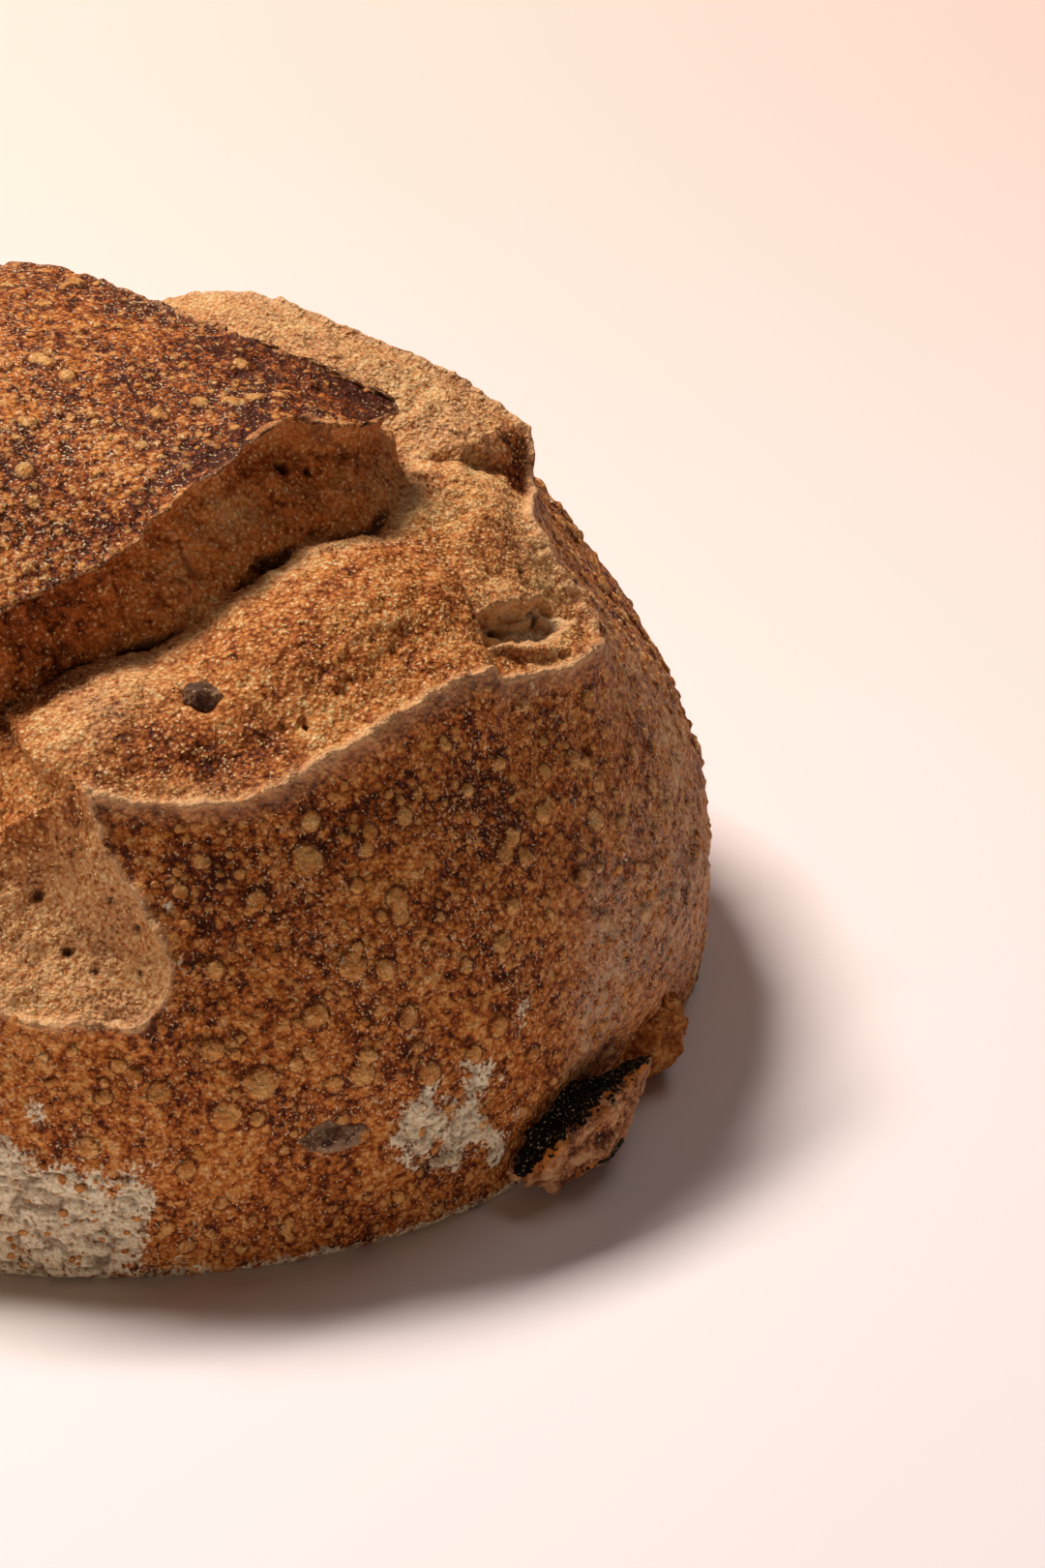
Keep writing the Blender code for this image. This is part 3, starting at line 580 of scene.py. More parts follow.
# %% The triangles between them
def from_lines(places, *lines):
    """The distance from each place to the nearest point of some outlines."""
    tree = tree_of(np.vstack([line[:, :2] for line in lines]))
    return np.array([tree.find((x, y, 0))[2] for x, y in places.tolist()])


def skin_mesh():
    """Map places and the triangles between them, with edges along three of the outlines."""
    rings = ring_places()
    widest = LIP_ROWS[-1]
    outlines = (ISLAND, OPENING, HOLLOW)
    tear = TEAR[:, :2]
    kept = [*(line[:, :2] for line in outlines), tear[from_lines(tear, *outlines) > widest + FINE]]
    for line in outlines:
        for row, offset in rows_beside(line):
            kept.append(row[from_lines(row, *outlines) > ROW_CLEARANCE * offset])
    field = np.vstack(rings[:-1])
    room = ROOM_BESIDE_ROWS * FINE
    clear = (from_lines(field, *outlines) > room + widest) & (from_lines(field, TEAR) > room)
    kept += [field[clear], rings[-1]]
    places = np.vstack(kept)
    edges = []
    first = 0
    for line in kept[:3]:
        edges += [(first + i, first + (i + 1) % len(line)) for i in range(len(line))]
        first += len(line)
    flat = [Vector(place) for place in undistorted(places)]
    made = geometry.delaunay_2d_cdt(flat, edges, [], 0, 1e-9)
    source = [origins[0] for origins in made[3]]
    where = {origin: index for index, origin in enumerate(source)}
    last_ring = [where[len(places) - count] for count in range(len(rings[-1]), 0, -1)]
    return places[source], [tuple(face) for face in made[2]] + [tuple(reversed(last_ring))]


PLACES, FACES = skin_mesh()
SKIN = relief(PLACES)
print("spots and faces of the skin:", len(PLACES), len(FACES))

# %% [markdown]
# ## Standing it where the solid stands
#
# The solid was moved so that its box is centred on the origin. The same step is found again by comparing the
# two boxes, so nothing is fitted by eye.

# %% The step from the dough's axis to the frame
def middle_of(low, high):
    return (np.array(low) + np.array(high)) / 2


def form_points(skin, step):
    """The points of a skin in space, with its relief."""
    return skin_points(skin.moved, skin.lift) + step


form = form_points(SKIN, np.zeros(3))
STEP = middle_of(*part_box("loaf")) - middle_of(form.min(axis=0), form.max(axis=0))
STEP[2] = 0
FORM = form + STEP
print("step in mm:", (STEP / MM).round(2), "  height in mm:", round(np.ptp(FORM[:, 2]) / MM, 1))

# %% [markdown]
# ## Where the nuts and raisins sit
#
# Each nut or raisin lies with its length along the skin and its middle a little above or below it. A small
# frame of axes is worked out at its spot: X along its length, Z out of the skin. The crust later sinks a
# little round it.

# %% The seats: kind, size in mm, degrees round from +X, height, how far its middle stands out, lean
SEATED_PIECES = {
    "walnut_front": ("open walnut", (31, 15, 13), -40, 9.2, 3.4, 13),
    "walnut_side": ("covered walnut", (13, 15, 12), -22.5, 8.6, 0.6, 0),
    "walnut_back": ("walnut", (24, 14, 11), 128, 30, 1.6, -20),
    "raisin_band": ("raisin", (7, 5, 4.5), -75.7, 89.5, -1.2, -28),
    "raisin_foot": ("floured raisin", (12.5, 6.5, 5.5), -68.4, 23.6, -1.7, -6),
    "raisin_left": ("raisin", (12, 8, 7), -158, 44, -0.6, 30),
    "raisin_back": ("raisin", (11, 7.5, 6.5), 62, 58, -0.6, -35),
    "raisin_pocket": ("raisin", (9, 6.5, 5.5), 171, 72, -1.0, 15),
}


def seat_frame(angle, height, stands_out, lean):
    """Where a nut or raisin lies: X along its length, Z out of the skin."""
    side = PROFILE[: np.searchsorted(-PROFILE[:, 2], 0)]
    along = np.interp(-height * MM, -side[:, 2], side[:, 0])
    place = polar(np.array([along]), math.radians(angle))
    lift = relief(place).lift
    skin, above = skin_points(place, lift)[0], skin_points(place, lift + MM)[0]
    out = Vector(above - skin).normalized()
    level = Vector((0, 0, 1)).cross(out).normalized()
    along = Matrix.Rotation(math.radians(lean), 3, out) @ level
    turned = Matrix((along, out.cross(along), out)).transposed().to_4x4()
    return Matrix.Translation(Vector(skin + STEP) + out * stands_out * MM) @ turned


SEATS = {name: seat_frame(*row[2:]) for name, row in SEATED_PIECES.items()}
for name, seat in SEATS.items():
    off = np.array(seat.translation) - middle_of(*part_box(name))
    print(name, "is off its solid's middle by mm:", (off / MM).round(1))

# %% [markdown]
# ## Marks on the crust
#
# Blisters are gas under a thin skin of dough. Holes, cracks and creases are where it tore. All are marks at
# known spots: the large ones are placed as in the photograph, and the many small ones are scattered evenly
# over the skin by a seeded draw. One helper says how close each spot of the skin is to the nearest mark.

# %% How close each spot is to a mark
FORM_TREE = tree_of(FORM)


def closeness(centres, reaches):
    """For each spot of the skin: 1 at a centre, falling to 0 at its reach."""
    near = np.zeros(len(FORM))
    for centre, reach in zip(centres.tolist(), reaches):
        for _, index, distance in FORM_TREE.find_range(centre, float(reach)):
            near[index] = max(near[index], 1 - (distance / reach) ** 2)
    return near


def on_form(places):
    """Where map places in millimetres lie on the finished form."""
    return form_points(relief(np.array(places, float) * MM), STEP)


def scattered(count, seed):
    """Map places spread evenly over the true skin."""
    draw = np.random.default_rng(seed)
    reached, radii = PROFILE[:, 0], PROFILE[:, 1]
    area = np.r_[0, np.cumsum(np.diff(reached) * (radii[1:] + radii[:-1]) / 2)]
    area = area[reached <= SKIN_LENGTH]
    along = np.interp(draw.random(count) * area[-1], area, reached[: len(area)])
    return polar(along, draw.uniform(-math.pi, math.pi, count))


def stroke_marks(points, width):
    """The centres and reaches of marks along a stroke of map points in millimetres, narrowing to its ends."""
    flat = [(x, y, 0) for x, y in points]
    line = np.vstack((smooth_stroke(flat, width * MM / 3), np.array(flat[-1]) * MM))[:, :2]
    share = np.linspace(-1, 1, len(line))
    return form_points(relief(line), STEP), width * MM / 2 * (1 - 0.6 * share**2)


# %% Blisters
LARGE_BLISTERS = (
    (40, -98, 3.3), (52, -112, 2.7), (46, -121.5, 2.5), (36, -134.5, 3.4), (29, -141, 3.0), (74, -123, 2.6),
    (87, -70, 2.2), (100, -62, 2.4), (100, -74, 2.1), (31, -106, 2.2), (60, -101, 2.0), (66, -116, 2.2),
    (24, -118, 2.0), (84, -96, 2.0), (58, -128, 2.3), (14, -138, 2.2),
)
SMALL_BLISTERS = 1500
SMALL_BLISTER_RADII = (0.9 * MM, 2.3 * MM)
SMALL_BLISTER_SKEW = 2.6
SMALL_BLISTER_CLEARANCE = 4 * MM
BLISTER_FLATNESS = 0.55

small = relief(scattered(SMALL_BLISTERS, seed=11))
draw = np.random.default_rng(12).random(SMALL_BLISTERS)
small_reaches = np.interp(draw**SMALL_BLISTER_SKEW, (0, 1), SMALL_BLISTER_RADII)
on_crust = ~small.torn & (small.from_rim > SMALL_BLISTER_CLEARANCE)
large = np.array(LARGE_BLISTERS)
BLISTERS = np.maximum(
    closeness(form_points(small, STEP)[on_crust], small_reaches[on_crust]),
    closeness(on_form(large[:, :2]), large[:, 2] * MM),
)
print("share of the skin that is blistered:", round(float((BLISTERS > 0).mean()), 3))

# %% Holes, cracks, creases and flaps: places in mm, radius or width, and depth, below 0 on a flap
HOLES = (
    (94, -51, 1.5, 1.8), (37, -77, 1.0, 1.4), (73.7, -40.2, 1.7, 2.4), (80, -32, 1.3, 1.5),
    (29, -27, 1.7, 1.4), (33.5, -25.5, 1.2, 1.1), (75, -24.5, 1.0, 1.0), (8, -113, 1.1, 1.0),
    (3, -109, 0.9, 0.9), (-6, -117, 1.3, 1.0), (0, -120, 1.0, 0.8), (-12, -108, 1.4, 0.9),
    (-22, -112, 1.5, 1.0), (9, -120, 0.9, 0.8),
)
STROKES = (
    (((104, -100), (104, -103.5), (108, -107)), 1.1, 1.2),
    (((-3, -89), (-4, -93), (-3, -99), (-2, -103)), 1.2, 1.0),
    (((31.5, -42.5), (29.5, -44), (27, -46)), 4.5, 1.8),
    (((40, -33), (37.5, -35), (36, -37.5)), 3.0, 1.0),
    (((13, -47), (15, -50), (18, -52.5)), 2.0, 1.0),
    (((52, -6), (56, -9), (61, -9)), 1.8, -1.2),
    (((53, -12), (58, -14), (62, -13)), 1.6, -1.0),
    (((50, -10), (54, -12.5), (58, -16)), 1.4, 1.4),
    (((69, -49), (76, -45), (83, -39)), 2.4, -1.3),
    (((73, -35), (79, -32), (85, -30)), 2.4, -1.4),
    (((69.5, -45), (75, -41), (80.5, -35)), 1.8, -1.5),
    (((71, -41), (76, -36.5), (81.5, -30.5)), 1.6, -1.2),
)
# How dark the creases and pores are painted inside, as painted shade.
STROKE_DARKNESS = 0.45
PORE_COUNT = 900
PORE_RADII = (0.45 * MM, 0.95 * MM)
PORE_DEPTH = 0.5 * MM
PORE_DARKNESS = 0.7

holes = np.array(HOLES)
PIT_SHADE = np.zeros(len(FORM))
MARKS = np.zeros(len(FORM))
for centre, reach, depth in zip(on_form(holes[:, :2]), holes[:, 2], holes[:, 3]):
    near = closeness(centre[None], [reach * MM])
    MARKS -= depth * MM * smoothstep(0, 0.8, near)
    PIT_SHADE = np.maximum(PIT_SHADE, near)
for points, width, depth in STROKES:
    near = closeness(*stroke_marks(points, width))
    MARKS -= depth * MM * near
    PIT_SHADE = np.maximum(PIT_SHADE, STROKE_DARKNESS * near * (depth > 0))
pores = relief(scattered(PORE_COUNT, seed=21))
pore_reaches = np.random.default_rng(22).uniform(*PORE_RADII, PORE_COUNT)
near = closeness(form_points(pores, STEP)[pores.torn], pore_reaches[pores.torn])
MARKS -= PORE_DEPTH * near
PIT_SHADE = np.maximum(PIT_SHADE, PORE_DARKNESS * near)

# %% [markdown]
# ## Zones of bake and flour
#
# The oven darkens what stands up: the island's tip, its back edge and a stretch of its front edge are nearly
# black. Torn dough is paler where it opened last, and is painted darker deep in the groove and at the band's
# foot by the front rim, as painted shade. Flour stays where the loaf lay in its basket: thick and cracked at
# the foot, and as a dull haze on the right. Each zone is a few soft spots on the map, given in millimetres
# with their strength, which is below 0 where a spot weakens the zone.

# %% Soft zones on the map: x, y, reach, strength
BAKED_DARK = (
    (43, -9, 8, 0.8), (36, -2, 8, 0.6), (20, 4, 9, 0.5), (4, 14, 9, 0.4), (26, -9, 15, 0.35),
    (-12, 28, 12, 0.3), (22, -28, 5, 0.7), (15, -36, 5, 0.8), (5, -45, 4, 0.4), (22, -100, 14, 0.4),
    (70, -72, 12, 0.2), (133, -20, 26, -0.2), (60, 30, 26, -0.1), (5, -130, 26, -0.12), (20, -160, 18, -0.2),
    (105, -103, 7, 0.3),
)
# Painted shade on the torn dough: low in the groove under the island and along the band's foot above the
# front rim.
TORN_PAINTED_SHADE = (
    (-7, -60, 7, 1.0), (-12, -67, 7, 0.9), (-3, -50, 4, 0.7), (12, -87, 6, 0.35), (21, -86.5, 6, 0.45),
    (30, -84.5, 5, 0.35), (40, -19, 4, 0.3), (71, 10, 5, 0.8),
)
THICK_FLOUR = (
    (-24, -159, 15, 1.1), (-6, -164, 11, 1.1), (5, -166, 8, 0.9), (10, -156, 6, 0.6), (-42, -152, 14, 0.9),
    (75, -133, 8, 0.85), (88, -128, 8, 0.95), (102, -127, 6, 0.8), (94, -105, 3.5, 0.8), (89, -117, 5, 0.6),
    (-70, -128, 16, 0.8), (-150, 10, 14, 0.7), (-60, 140, 16, 0.8), (60, 138, 12, 0.7), (120, 95, 14, 0.6),
)
HAZE = (
    (114, -75, 13, 0.9), (119, -90, 11, 1.0), (132, -55, 18, 0.8), (150, -35, 16, 0.6), (128, -20, 22, 0.6),
    (100, -22, 12, 0.4), (-100, -90, 26, 0.6), (-60, 110, 30, 0.5), (90, 90, 30, 0.5),
)
PALE = (
    (5, -72, 8, 0.5), (-3, -80, 9, 0.6), (60, -14, 9, 0.3), (50, -19, 6, 0.4), (82, -18, 9, 1.0),
    (78, -8, 8, 0.7), (74, -36, 10, 0.5), (60, 8, 12, 0.9), (45, 14, 12, 1.0), (25, 28, 14, 1.0),
    (5, 45, 14, 0.8),
)


def zone(rows):
    """How strongly each spot of the skin belongs to a zone of soft round spots."""
    strength = np.zeros(len(PLACES))
    for x, y, reach, height in rows:
        strength += height * hill(np.hypot(PLACES[:, 0] - x * MM, PLACES[:, 1] - y * MM), reach * MM)
    return strength


# %% Lines, strips and patches that follow the edges: from where and to where each fades
RIM_LINE = 0.75 * MM
FINE_LINE = 0.5 * MM
STRIP_FADE = (4.5 * MM, 1.5 * MM)
STRIP_END = (-100 * MM, -93 * MM)
FLOURED_FOOT = (3.5 * MM, 1.0 * MM)
FLOUR_CLOUDS = 7 * MM
FLOUR_CLOTS = 2.5 * MM
FOOT_CLOTS = 3 * MM
GROOVE_FOOT_BEYOND = 0.05
GROOVE_FOOT_WIDTH = 0.035
GROOVE_FOOT_CLEARANCE = 6 * MM
FRONT_POCKET_END = (40 * MM, 15 * MM)

LIP_LINE = hill(SKIN.from_rim, RIM_LINE) + 0.3 * hill(SKIN.from_island, FINE_LINE)
LIP_LINE += 0.7 * hill(SKIN.from_hollow, FINE_LINE)
LIP_STRIP = ~SKIN.torn * ~SKIN.on_island * smoothstep(*STRIP_FADE, SKIN.from_rim)
LIP_STRIP = LIP_STRIP * smoothstep(*STRIP_END, PLACES[:, 1])
near_base = smoothstep(*FLOURED_FOOT, FORM[:, 2])
flour = zone(THICK_FLOUR) + 0.45 * waves(FORM, FLOUR_CLOUDS, 4.4) + 0.45 * waves(FORM, FLOUR_CLOTS, 9.1)
FLOUR = ~SKIN.torn * smoothstep(0.1, 0.95, flour) + 0.8 * near_base * (waves(FORM, FOOT_CLOTS) > -0.25)
groove_foot = SKIN.torn * hill(SKIN.across - GROOVE_PLACE - GROOVE_FOOT_BEYOND, GROOVE_FOOT_WIDTH)
GROOVE_FOOT = groove_foot * (SKIN.from_rim > GROOVE_FOOT_CLEARANCE)
FRONT_POCKET = SKIN.pocket * smoothstep(*FRONT_POCKET_END, PLACES[:, 0])
print("floured share:", round(float((FLOUR > 0.5).mean()), 3))

# %% [markdown]
# ## The grain of the crust
#
# Up close the crust is lumpy at every size. The lumps are added along the surface's own normal, so that walls
# and lips get them too: soft lumps on the crust, streaks along the rim and coarse granules in the torn dough,
# crags on its walls, and a cracked cake where the flour is thick.

# %% Fine relief along the normals
CRUST_LUMPS = ((9 * MM, 0.45 * MM), (4 * MM, 0.35 * MM), (1.9 * MM, 0.25 * MM))
TORN_LUMPS = ((7 * MM, 0.65 * MM), (3 * MM, 0.45 * MM), (1.5 * MM, 0.38 * MM))
WALL_CRAGS = ((6 * MM, 1.2 * MM), (2.6 * MM, 0.6 * MM))
WALL_SOFTNESS = 0.1
HOLLOW_CRAGS = 0.6
PEBBLE_SIZE = 2.6 * MM
PEBBLE_HEIGHT = 0.55 * MM
PEBBLE_WANDER_SIZE = 3 * MM
STREAK_LENGTH = 14 * MM
STREAK_WIDTH = 1.7 * MM
STREAK_HEIGHT = 0.28 * MM
BLISTER_HEIGHT = 0.75 * MM
FLOUR_CAKE = 0.3 * MM
FLOUR_CAKE_FLATNESS = 1.8
FLOUR_CRACK_SIZE = 5.5 * MM
FLOUR_CRACK_WIDTH = 0.16
FLOUR_CRACK_DEPTH = 0.7 * MM
FLOUR_CRACK_WANDER = 2 * MM
FLOUR_CRACK_WANDER_SIZE = 4 * MM
SEAT_DIPS = {"walnut_front": 1.1 * MM, "walnut_side": 0.3 * MM, "walnut_back": 1.1 * MM}
SHALLOW_SEAT_DIP = 0.35 * MM
SEAT_DIP_REACH = 1.25
SEAT_DIP_FADE = (1.25, 0.7)
LEVEL_BASE = 2.5 * MM


def summed(lumps, seed):
    """Waves of several sizes and heights, added up."""
    return sum(height * waves(FORM, size, seed + size / MM) for size, height in lumps)


def three_waves(size, first_seed):
    """A shift to each side, wandering over the loaf."""
    return np.column_stack([waves(FORM, size, first_seed + step) for step in (0, 7, 14)])


def flour_cracks():
    """1 in the cracks between the cakes of thick flour."""
    cracks = np.zeros(len(FORM))
    shift = three_waves(FLOUR_CRACK_WANDER_SIZE, 2.5) * FLOUR_CRACK_WANDER
    wandering = FORM * (1, 1, FLOUR_CAKE_FLATNESS) + shift
    for index in np.flatnonzero(FLOUR > 0.05):
        distances, _ = noise.voronoi(wandering[index] / FLOUR_CRACK_SIZE)
        cracks[index] = 1 - min(1, (distances[1] - distances[0]) / FLOUR_CRACK_WIDTH)
    return cracks


def seat_dips():
    """How far the crust sinks round the nuts and raisins."""
    dip = np.zeros(len(FORM))
    for name, (_, size, *_) in SEATED_PIECES.items():
        local = np.array(SEATS[name].inverted())
        inner = FORM @ local[:3, :3].T + local[:3, 3]
        reach = np.sqrt(((inner / (np.array(size) * MM / 2 * SEAT_DIP_REACH)) ** 2).sum(axis=1))
        dip += SEAT_DIPS.get(name, SHALLOW_SEAT_DIP) * smoothstep(*SEAT_DIP_FADE, reach)
    return dip


def pebbles():
    """Rounded lumps side by side, with creases between them."""
    wandering = FORM + three_waves(PEBBLE_WANDER_SIZE, 1.5) * PEBBLE_SIZE / 3
    nearest = np.array([noise.voronoi(row)[0][0] for row in (wandering / PEBBLE_SIZE).tolist()])
    return PEBBLE_HEIGHT * (0.5 - nearest)


streaks = waves(np.column_stack((PLACES / STREAK_LENGTH, SKIN.from_rim / STREAK_WIDTH)), 1, 6.6)
IN_WALL = SKIN.torn * smoothstep(GROOVE_PLACE + WALL_SOFTNESS, GROOVE_PLACE - WALL_SOFTNESS, SKIN.across)
FLOUR_CRACKS = flour_cracks()
PEBBLES = pebbles()
crust_relief = summed(CRUST_LUMPS, 1.0) + PEBBLES + BLISTER_HEIGHT * BLISTERS**BLISTER_FLATNESS
torn_relief = summed(TORN_LUMPS, 2.0) + PEBBLES / 2 + STREAK_HEIGHT * streaks
torn_relief += (IN_WALL + HOLLOW_CRAGS * SKIN.hollow) * summed(WALL_CRAGS, 3.0)
fine = np.where(SKIN.torn, torn_relief, crust_relief) + MARKS - seat_dips()
fine += FLOUR * (FLOUR_CAKE - FLOUR_CRACK_DEPTH * FLOUR_CRACKS)
fine *= smoothstep(0, LEVEL_BASE, FORM[:, 2])

# %% The crust's mesh
crust_mesh = bpy.data.meshes.new("crust")
crust_mesh.from_pydata(FORM.tolist(), [], FACES)
normals = np.empty(3 * len(FORM))
crust_mesh.vertex_normals.foreach_get("vector", normals)
finished = FORM + normals.reshape(-1, 3) * fine[:, None]
finished[:, 2] = np.maximum(finished[:, 2], 0)
crust_mesh.vertices.foreach_set("co", finished.ravel())
crust_mesh.shade_smooth()
crust_mesh.update()
print("triangles in the crust:", sum(len(face.vertices) - 2 for face in crust_mesh.polygons))

# %% What each spot is, kept on the mesh for its finish and for what is scattered on it
TORN_SOFTNESS = 0.5 * MM
GRAINS_FROM = 1.5 * MM
SMALL_BLISTERS_FROM = 4 * MM
ISLAND_BAKE = 0.25
SPECK_CLOUDS = 16 * MM

signed = np.where(SKIN.torn, 1, -1) * np.minimum(SKIN.from_rim, SKIN.from_island)
TORN = smoothstep(-TORN_SOFTNESS, TORN_SOFTNESS, signed)
BAKE = zone(BAKED_DARK) + ISLAND_BAKE * SKIN.on_island
SHADE = SKIN.torn * np.clip(zone(TORN_PAINTED_SHADE), 0, 1)
PALENESS = SKIN.torn * np.clip(zone(PALE) + 0.9 * FRONT_POCKET + 0.8 * GROOVE_FOOT - SHADE, 0, 1)
# How thickly the cream specks lie: flour and bran, and painted glints.
specks = 0.5 + 0.5 * waves(FORM, SPECK_CLOUDS, 7.7) - 0.4 * LIP_STRIP + (0.4 - 0.9 * BAKE) * SKIN.on_island
SPECKS = np.clip(specks, 0, 1)
HAZINESS = np.clip(zone(HAZE) + 0.35 * LIP_STRIP, 0, 1)
OFF_THE_BASE = FORM[:, 2] > GRAINS_FROM
DUSTED = np.clip(zone(THICK_FLOUR), 0, 1) * OFF_THE_BASE
BARE = (1 - TORN) * (1 - LIP_STRIP) * (BLISTERS < 0.05) * (FORM[:, 2] > SMALL_BLISTERS_FROM)
CRUST_FACTS = {
    "torn": TORN, "wall": IN_WALL, "bake": BAKE, "pale": PALENESS, "flour": np.clip(FLOUR, 0, 1),
    "shade": SHADE, "crevice": SKIN.crevice, "hollow": SKIN.hollow, "crack": FLOUR_CRACKS * FLOUR,
    "haze": HAZINESS, "blister": BLISTERS * (1 - TORN), "pit": PIT_SHADE, "lip": np.clip(LIP_LINE, 0, 1),
    "strip": LIP_STRIP * 1.0, "specks": SPECKS,
    "grain_share": (1 - TORN) * (0.2 + SPECKS + 1.5 * DUSTED) * (1 - 0.7 * LIP_STRIP) * OFF_THE_BASE,
    "crumb_share": TORN * (1 - 0.75 * IN_WALL) * (1 - PIT_SHADE),
    "blister_share": BARE * (1 - 0.5 * SKIN.on_island),
}
for name, values in CRUST_FACTS.items():
    crust_mesh.attributes.new(name, "FLOAT", "POINT").data.foreach_set("value", np.asarray(values, float))

# %% [markdown]
# ## Mixing finishes
#
# A finish is a small recipe: noise of a named size, cut or ramped into a mask, mixes one colour over another.
# A short helper class adds the nodes, so that each recipe reads from top to bottom. Colours are given as
# screen colours, 0 to 255, as they would look in plain white light.

# %% A helper for node recipes
def screen(red, green, blue):
    """A linear colour from a screen colour."""
    shares = [part / 255 for part in (red, green, blue)]
    return (*[s / 12.92 if s <= 0.04045 else ((s + 0.055) / 1.055) ** 2.4 for s in shares], 1.0)


class Finish:
    """A material being mixed: a call adds what it needs to the node tree and gives the output."""

    def __init__(self, name, roughness, specular=0.12):
        self.material = bpy.data.materials.new(name)
        self.material.use_nodes = True
        self.tree = self.material.node_tree
        self.shader = self.tree.nodes["Principled BSDF"]
        self.shader.inputs["Roughness"].default_value = roughness
        self.shader.inputs["Specular IOR Level"].default_value = specular
        self.places = self.add("ShaderNodeTexCoord").outputs["Object"]

    def add(self, kind, inputs=(), **settings):
        node = self.tree.nodes.new(kind)
        for name, value in settings.items():
            setattr(node, name, value)
        for name, value in dict(inputs).items():
            self.plug(node.inputs[name], value)
        return node

    def plug(self, socket, value):
        if isinstance(value, bpy.types.NodeSocket):
            self.tree.links.new(value, socket)
        else:
            socket.default_value = value

    def fact(self, name):
        """A number that the mesh keeps at each spot."""
        return self.add("ShaderNodeAttribute", attribute_name=name).outputs["Fac"]

    def noise(self, size, detail=3, distortion=0.0):
        inputs = {"Vector": self.places, "Scale": 1 / size, "Detail": detail, "Distortion": distortion}
        return self.add("ShaderNodeTexNoise", inputs).outputs["Fac"]

    def cells(self, size, wander=0.5):
        """Uneven cells of about the given size: the distance to the middle, and a random tone for each."""
        shift = self.add("ShaderNodeTexNoise", {"Vector": self.places, "Scale": 1.2 / size, "Detail": 2})
        places = self.add(
            "ShaderNodeVectorMath", {0: shift.outputs["Color"], 1: (wander * size,) * 3, 2: self.places},
            operation="MULTIPLY_ADD",
        )
        cells = self.add("ShaderNodeTexVoronoi", {"Vector": places.outputs[0], "Scale": 1 / size})
        tone = self.add("ShaderNodeSeparateColor", {0: cells.outputs["Color"]})
        return cells.outputs["Distance"], tone.outputs[0]

    def math(self, operation, *values):
        return self.add("ShaderNodeMath", enumerate(values), operation=operation).outputs[0]

    def total(self, *shares):
        """The sum of outputs, each given with its weight."""
        result = 0.0
        for output, weight in shares:
            result = self.math("MULTIPLY_ADD", output, weight, result)
        return result

    def cut(self, value, low, high, most=1.0):
        """0 up to low, rising softly to most at high."""
        inputs = {"Value": value, "From Min": low, "From Max": high, "To Max": most}
        return self.add("ShaderNodeMapRange", inputs, interpolation_type="SMOOTHSTEP").outputs["Result"]

    def ramp(self, value, *stops):
        """A colour from stops of a place and a colour."""
        node = self.add("ShaderNodeValToRGB", {"Fac": value})
        elements = node.color_ramp.elements
        while len(elements) < len(stops):
            elements.new(0.5)
        for element, (place, colour) in zip(elements, stops):
            element.position = place
            element.color = screen(*colour)
        return node.outputs["Color"]

    def over(self, below, above, share):
        """One colour laid over another where share is 1."""
        above = screen(*above) if isinstance(above, tuple) else above
        below = screen(*below) if isinstance(below, tuple) else below
        return self.add("ShaderNodeMix", {0: share, 6: below, 7: above}, data_type="RGBA").outputs[2]

    def finish(self, colour, height=None, depth=0.0, roughness=None):
        self.plug(self.shader.inputs["Base Color"], colour)
        if roughness is not None:
            self.plug(self.shader.inputs["Roughness"], roughness)
        if height is not None:
            bump = self.add("ShaderNodeBump", {"Height": height, "Distance": depth, "Strength": 1.0})
            self.tree.links.new(bump.outputs["Normal"], self.shader.inputs["Normal"])
        return self.material


# %% [markdown]
# ## The crust's finish
#
# The crust is brown from sugar and starch that browned unevenly: dark reddish brown between the blisters,
# with a ring of painted shade round each, tan on them, and cream specks all over that are flour and bran and
# also painted glints. The torn dough is orange gold and granular, with painted shade in the groove and its
# crevice. The lips, the flour with its cracks and the pits, painted dark inside as painted shade, come over
# both, from the facts kept on the mesh.

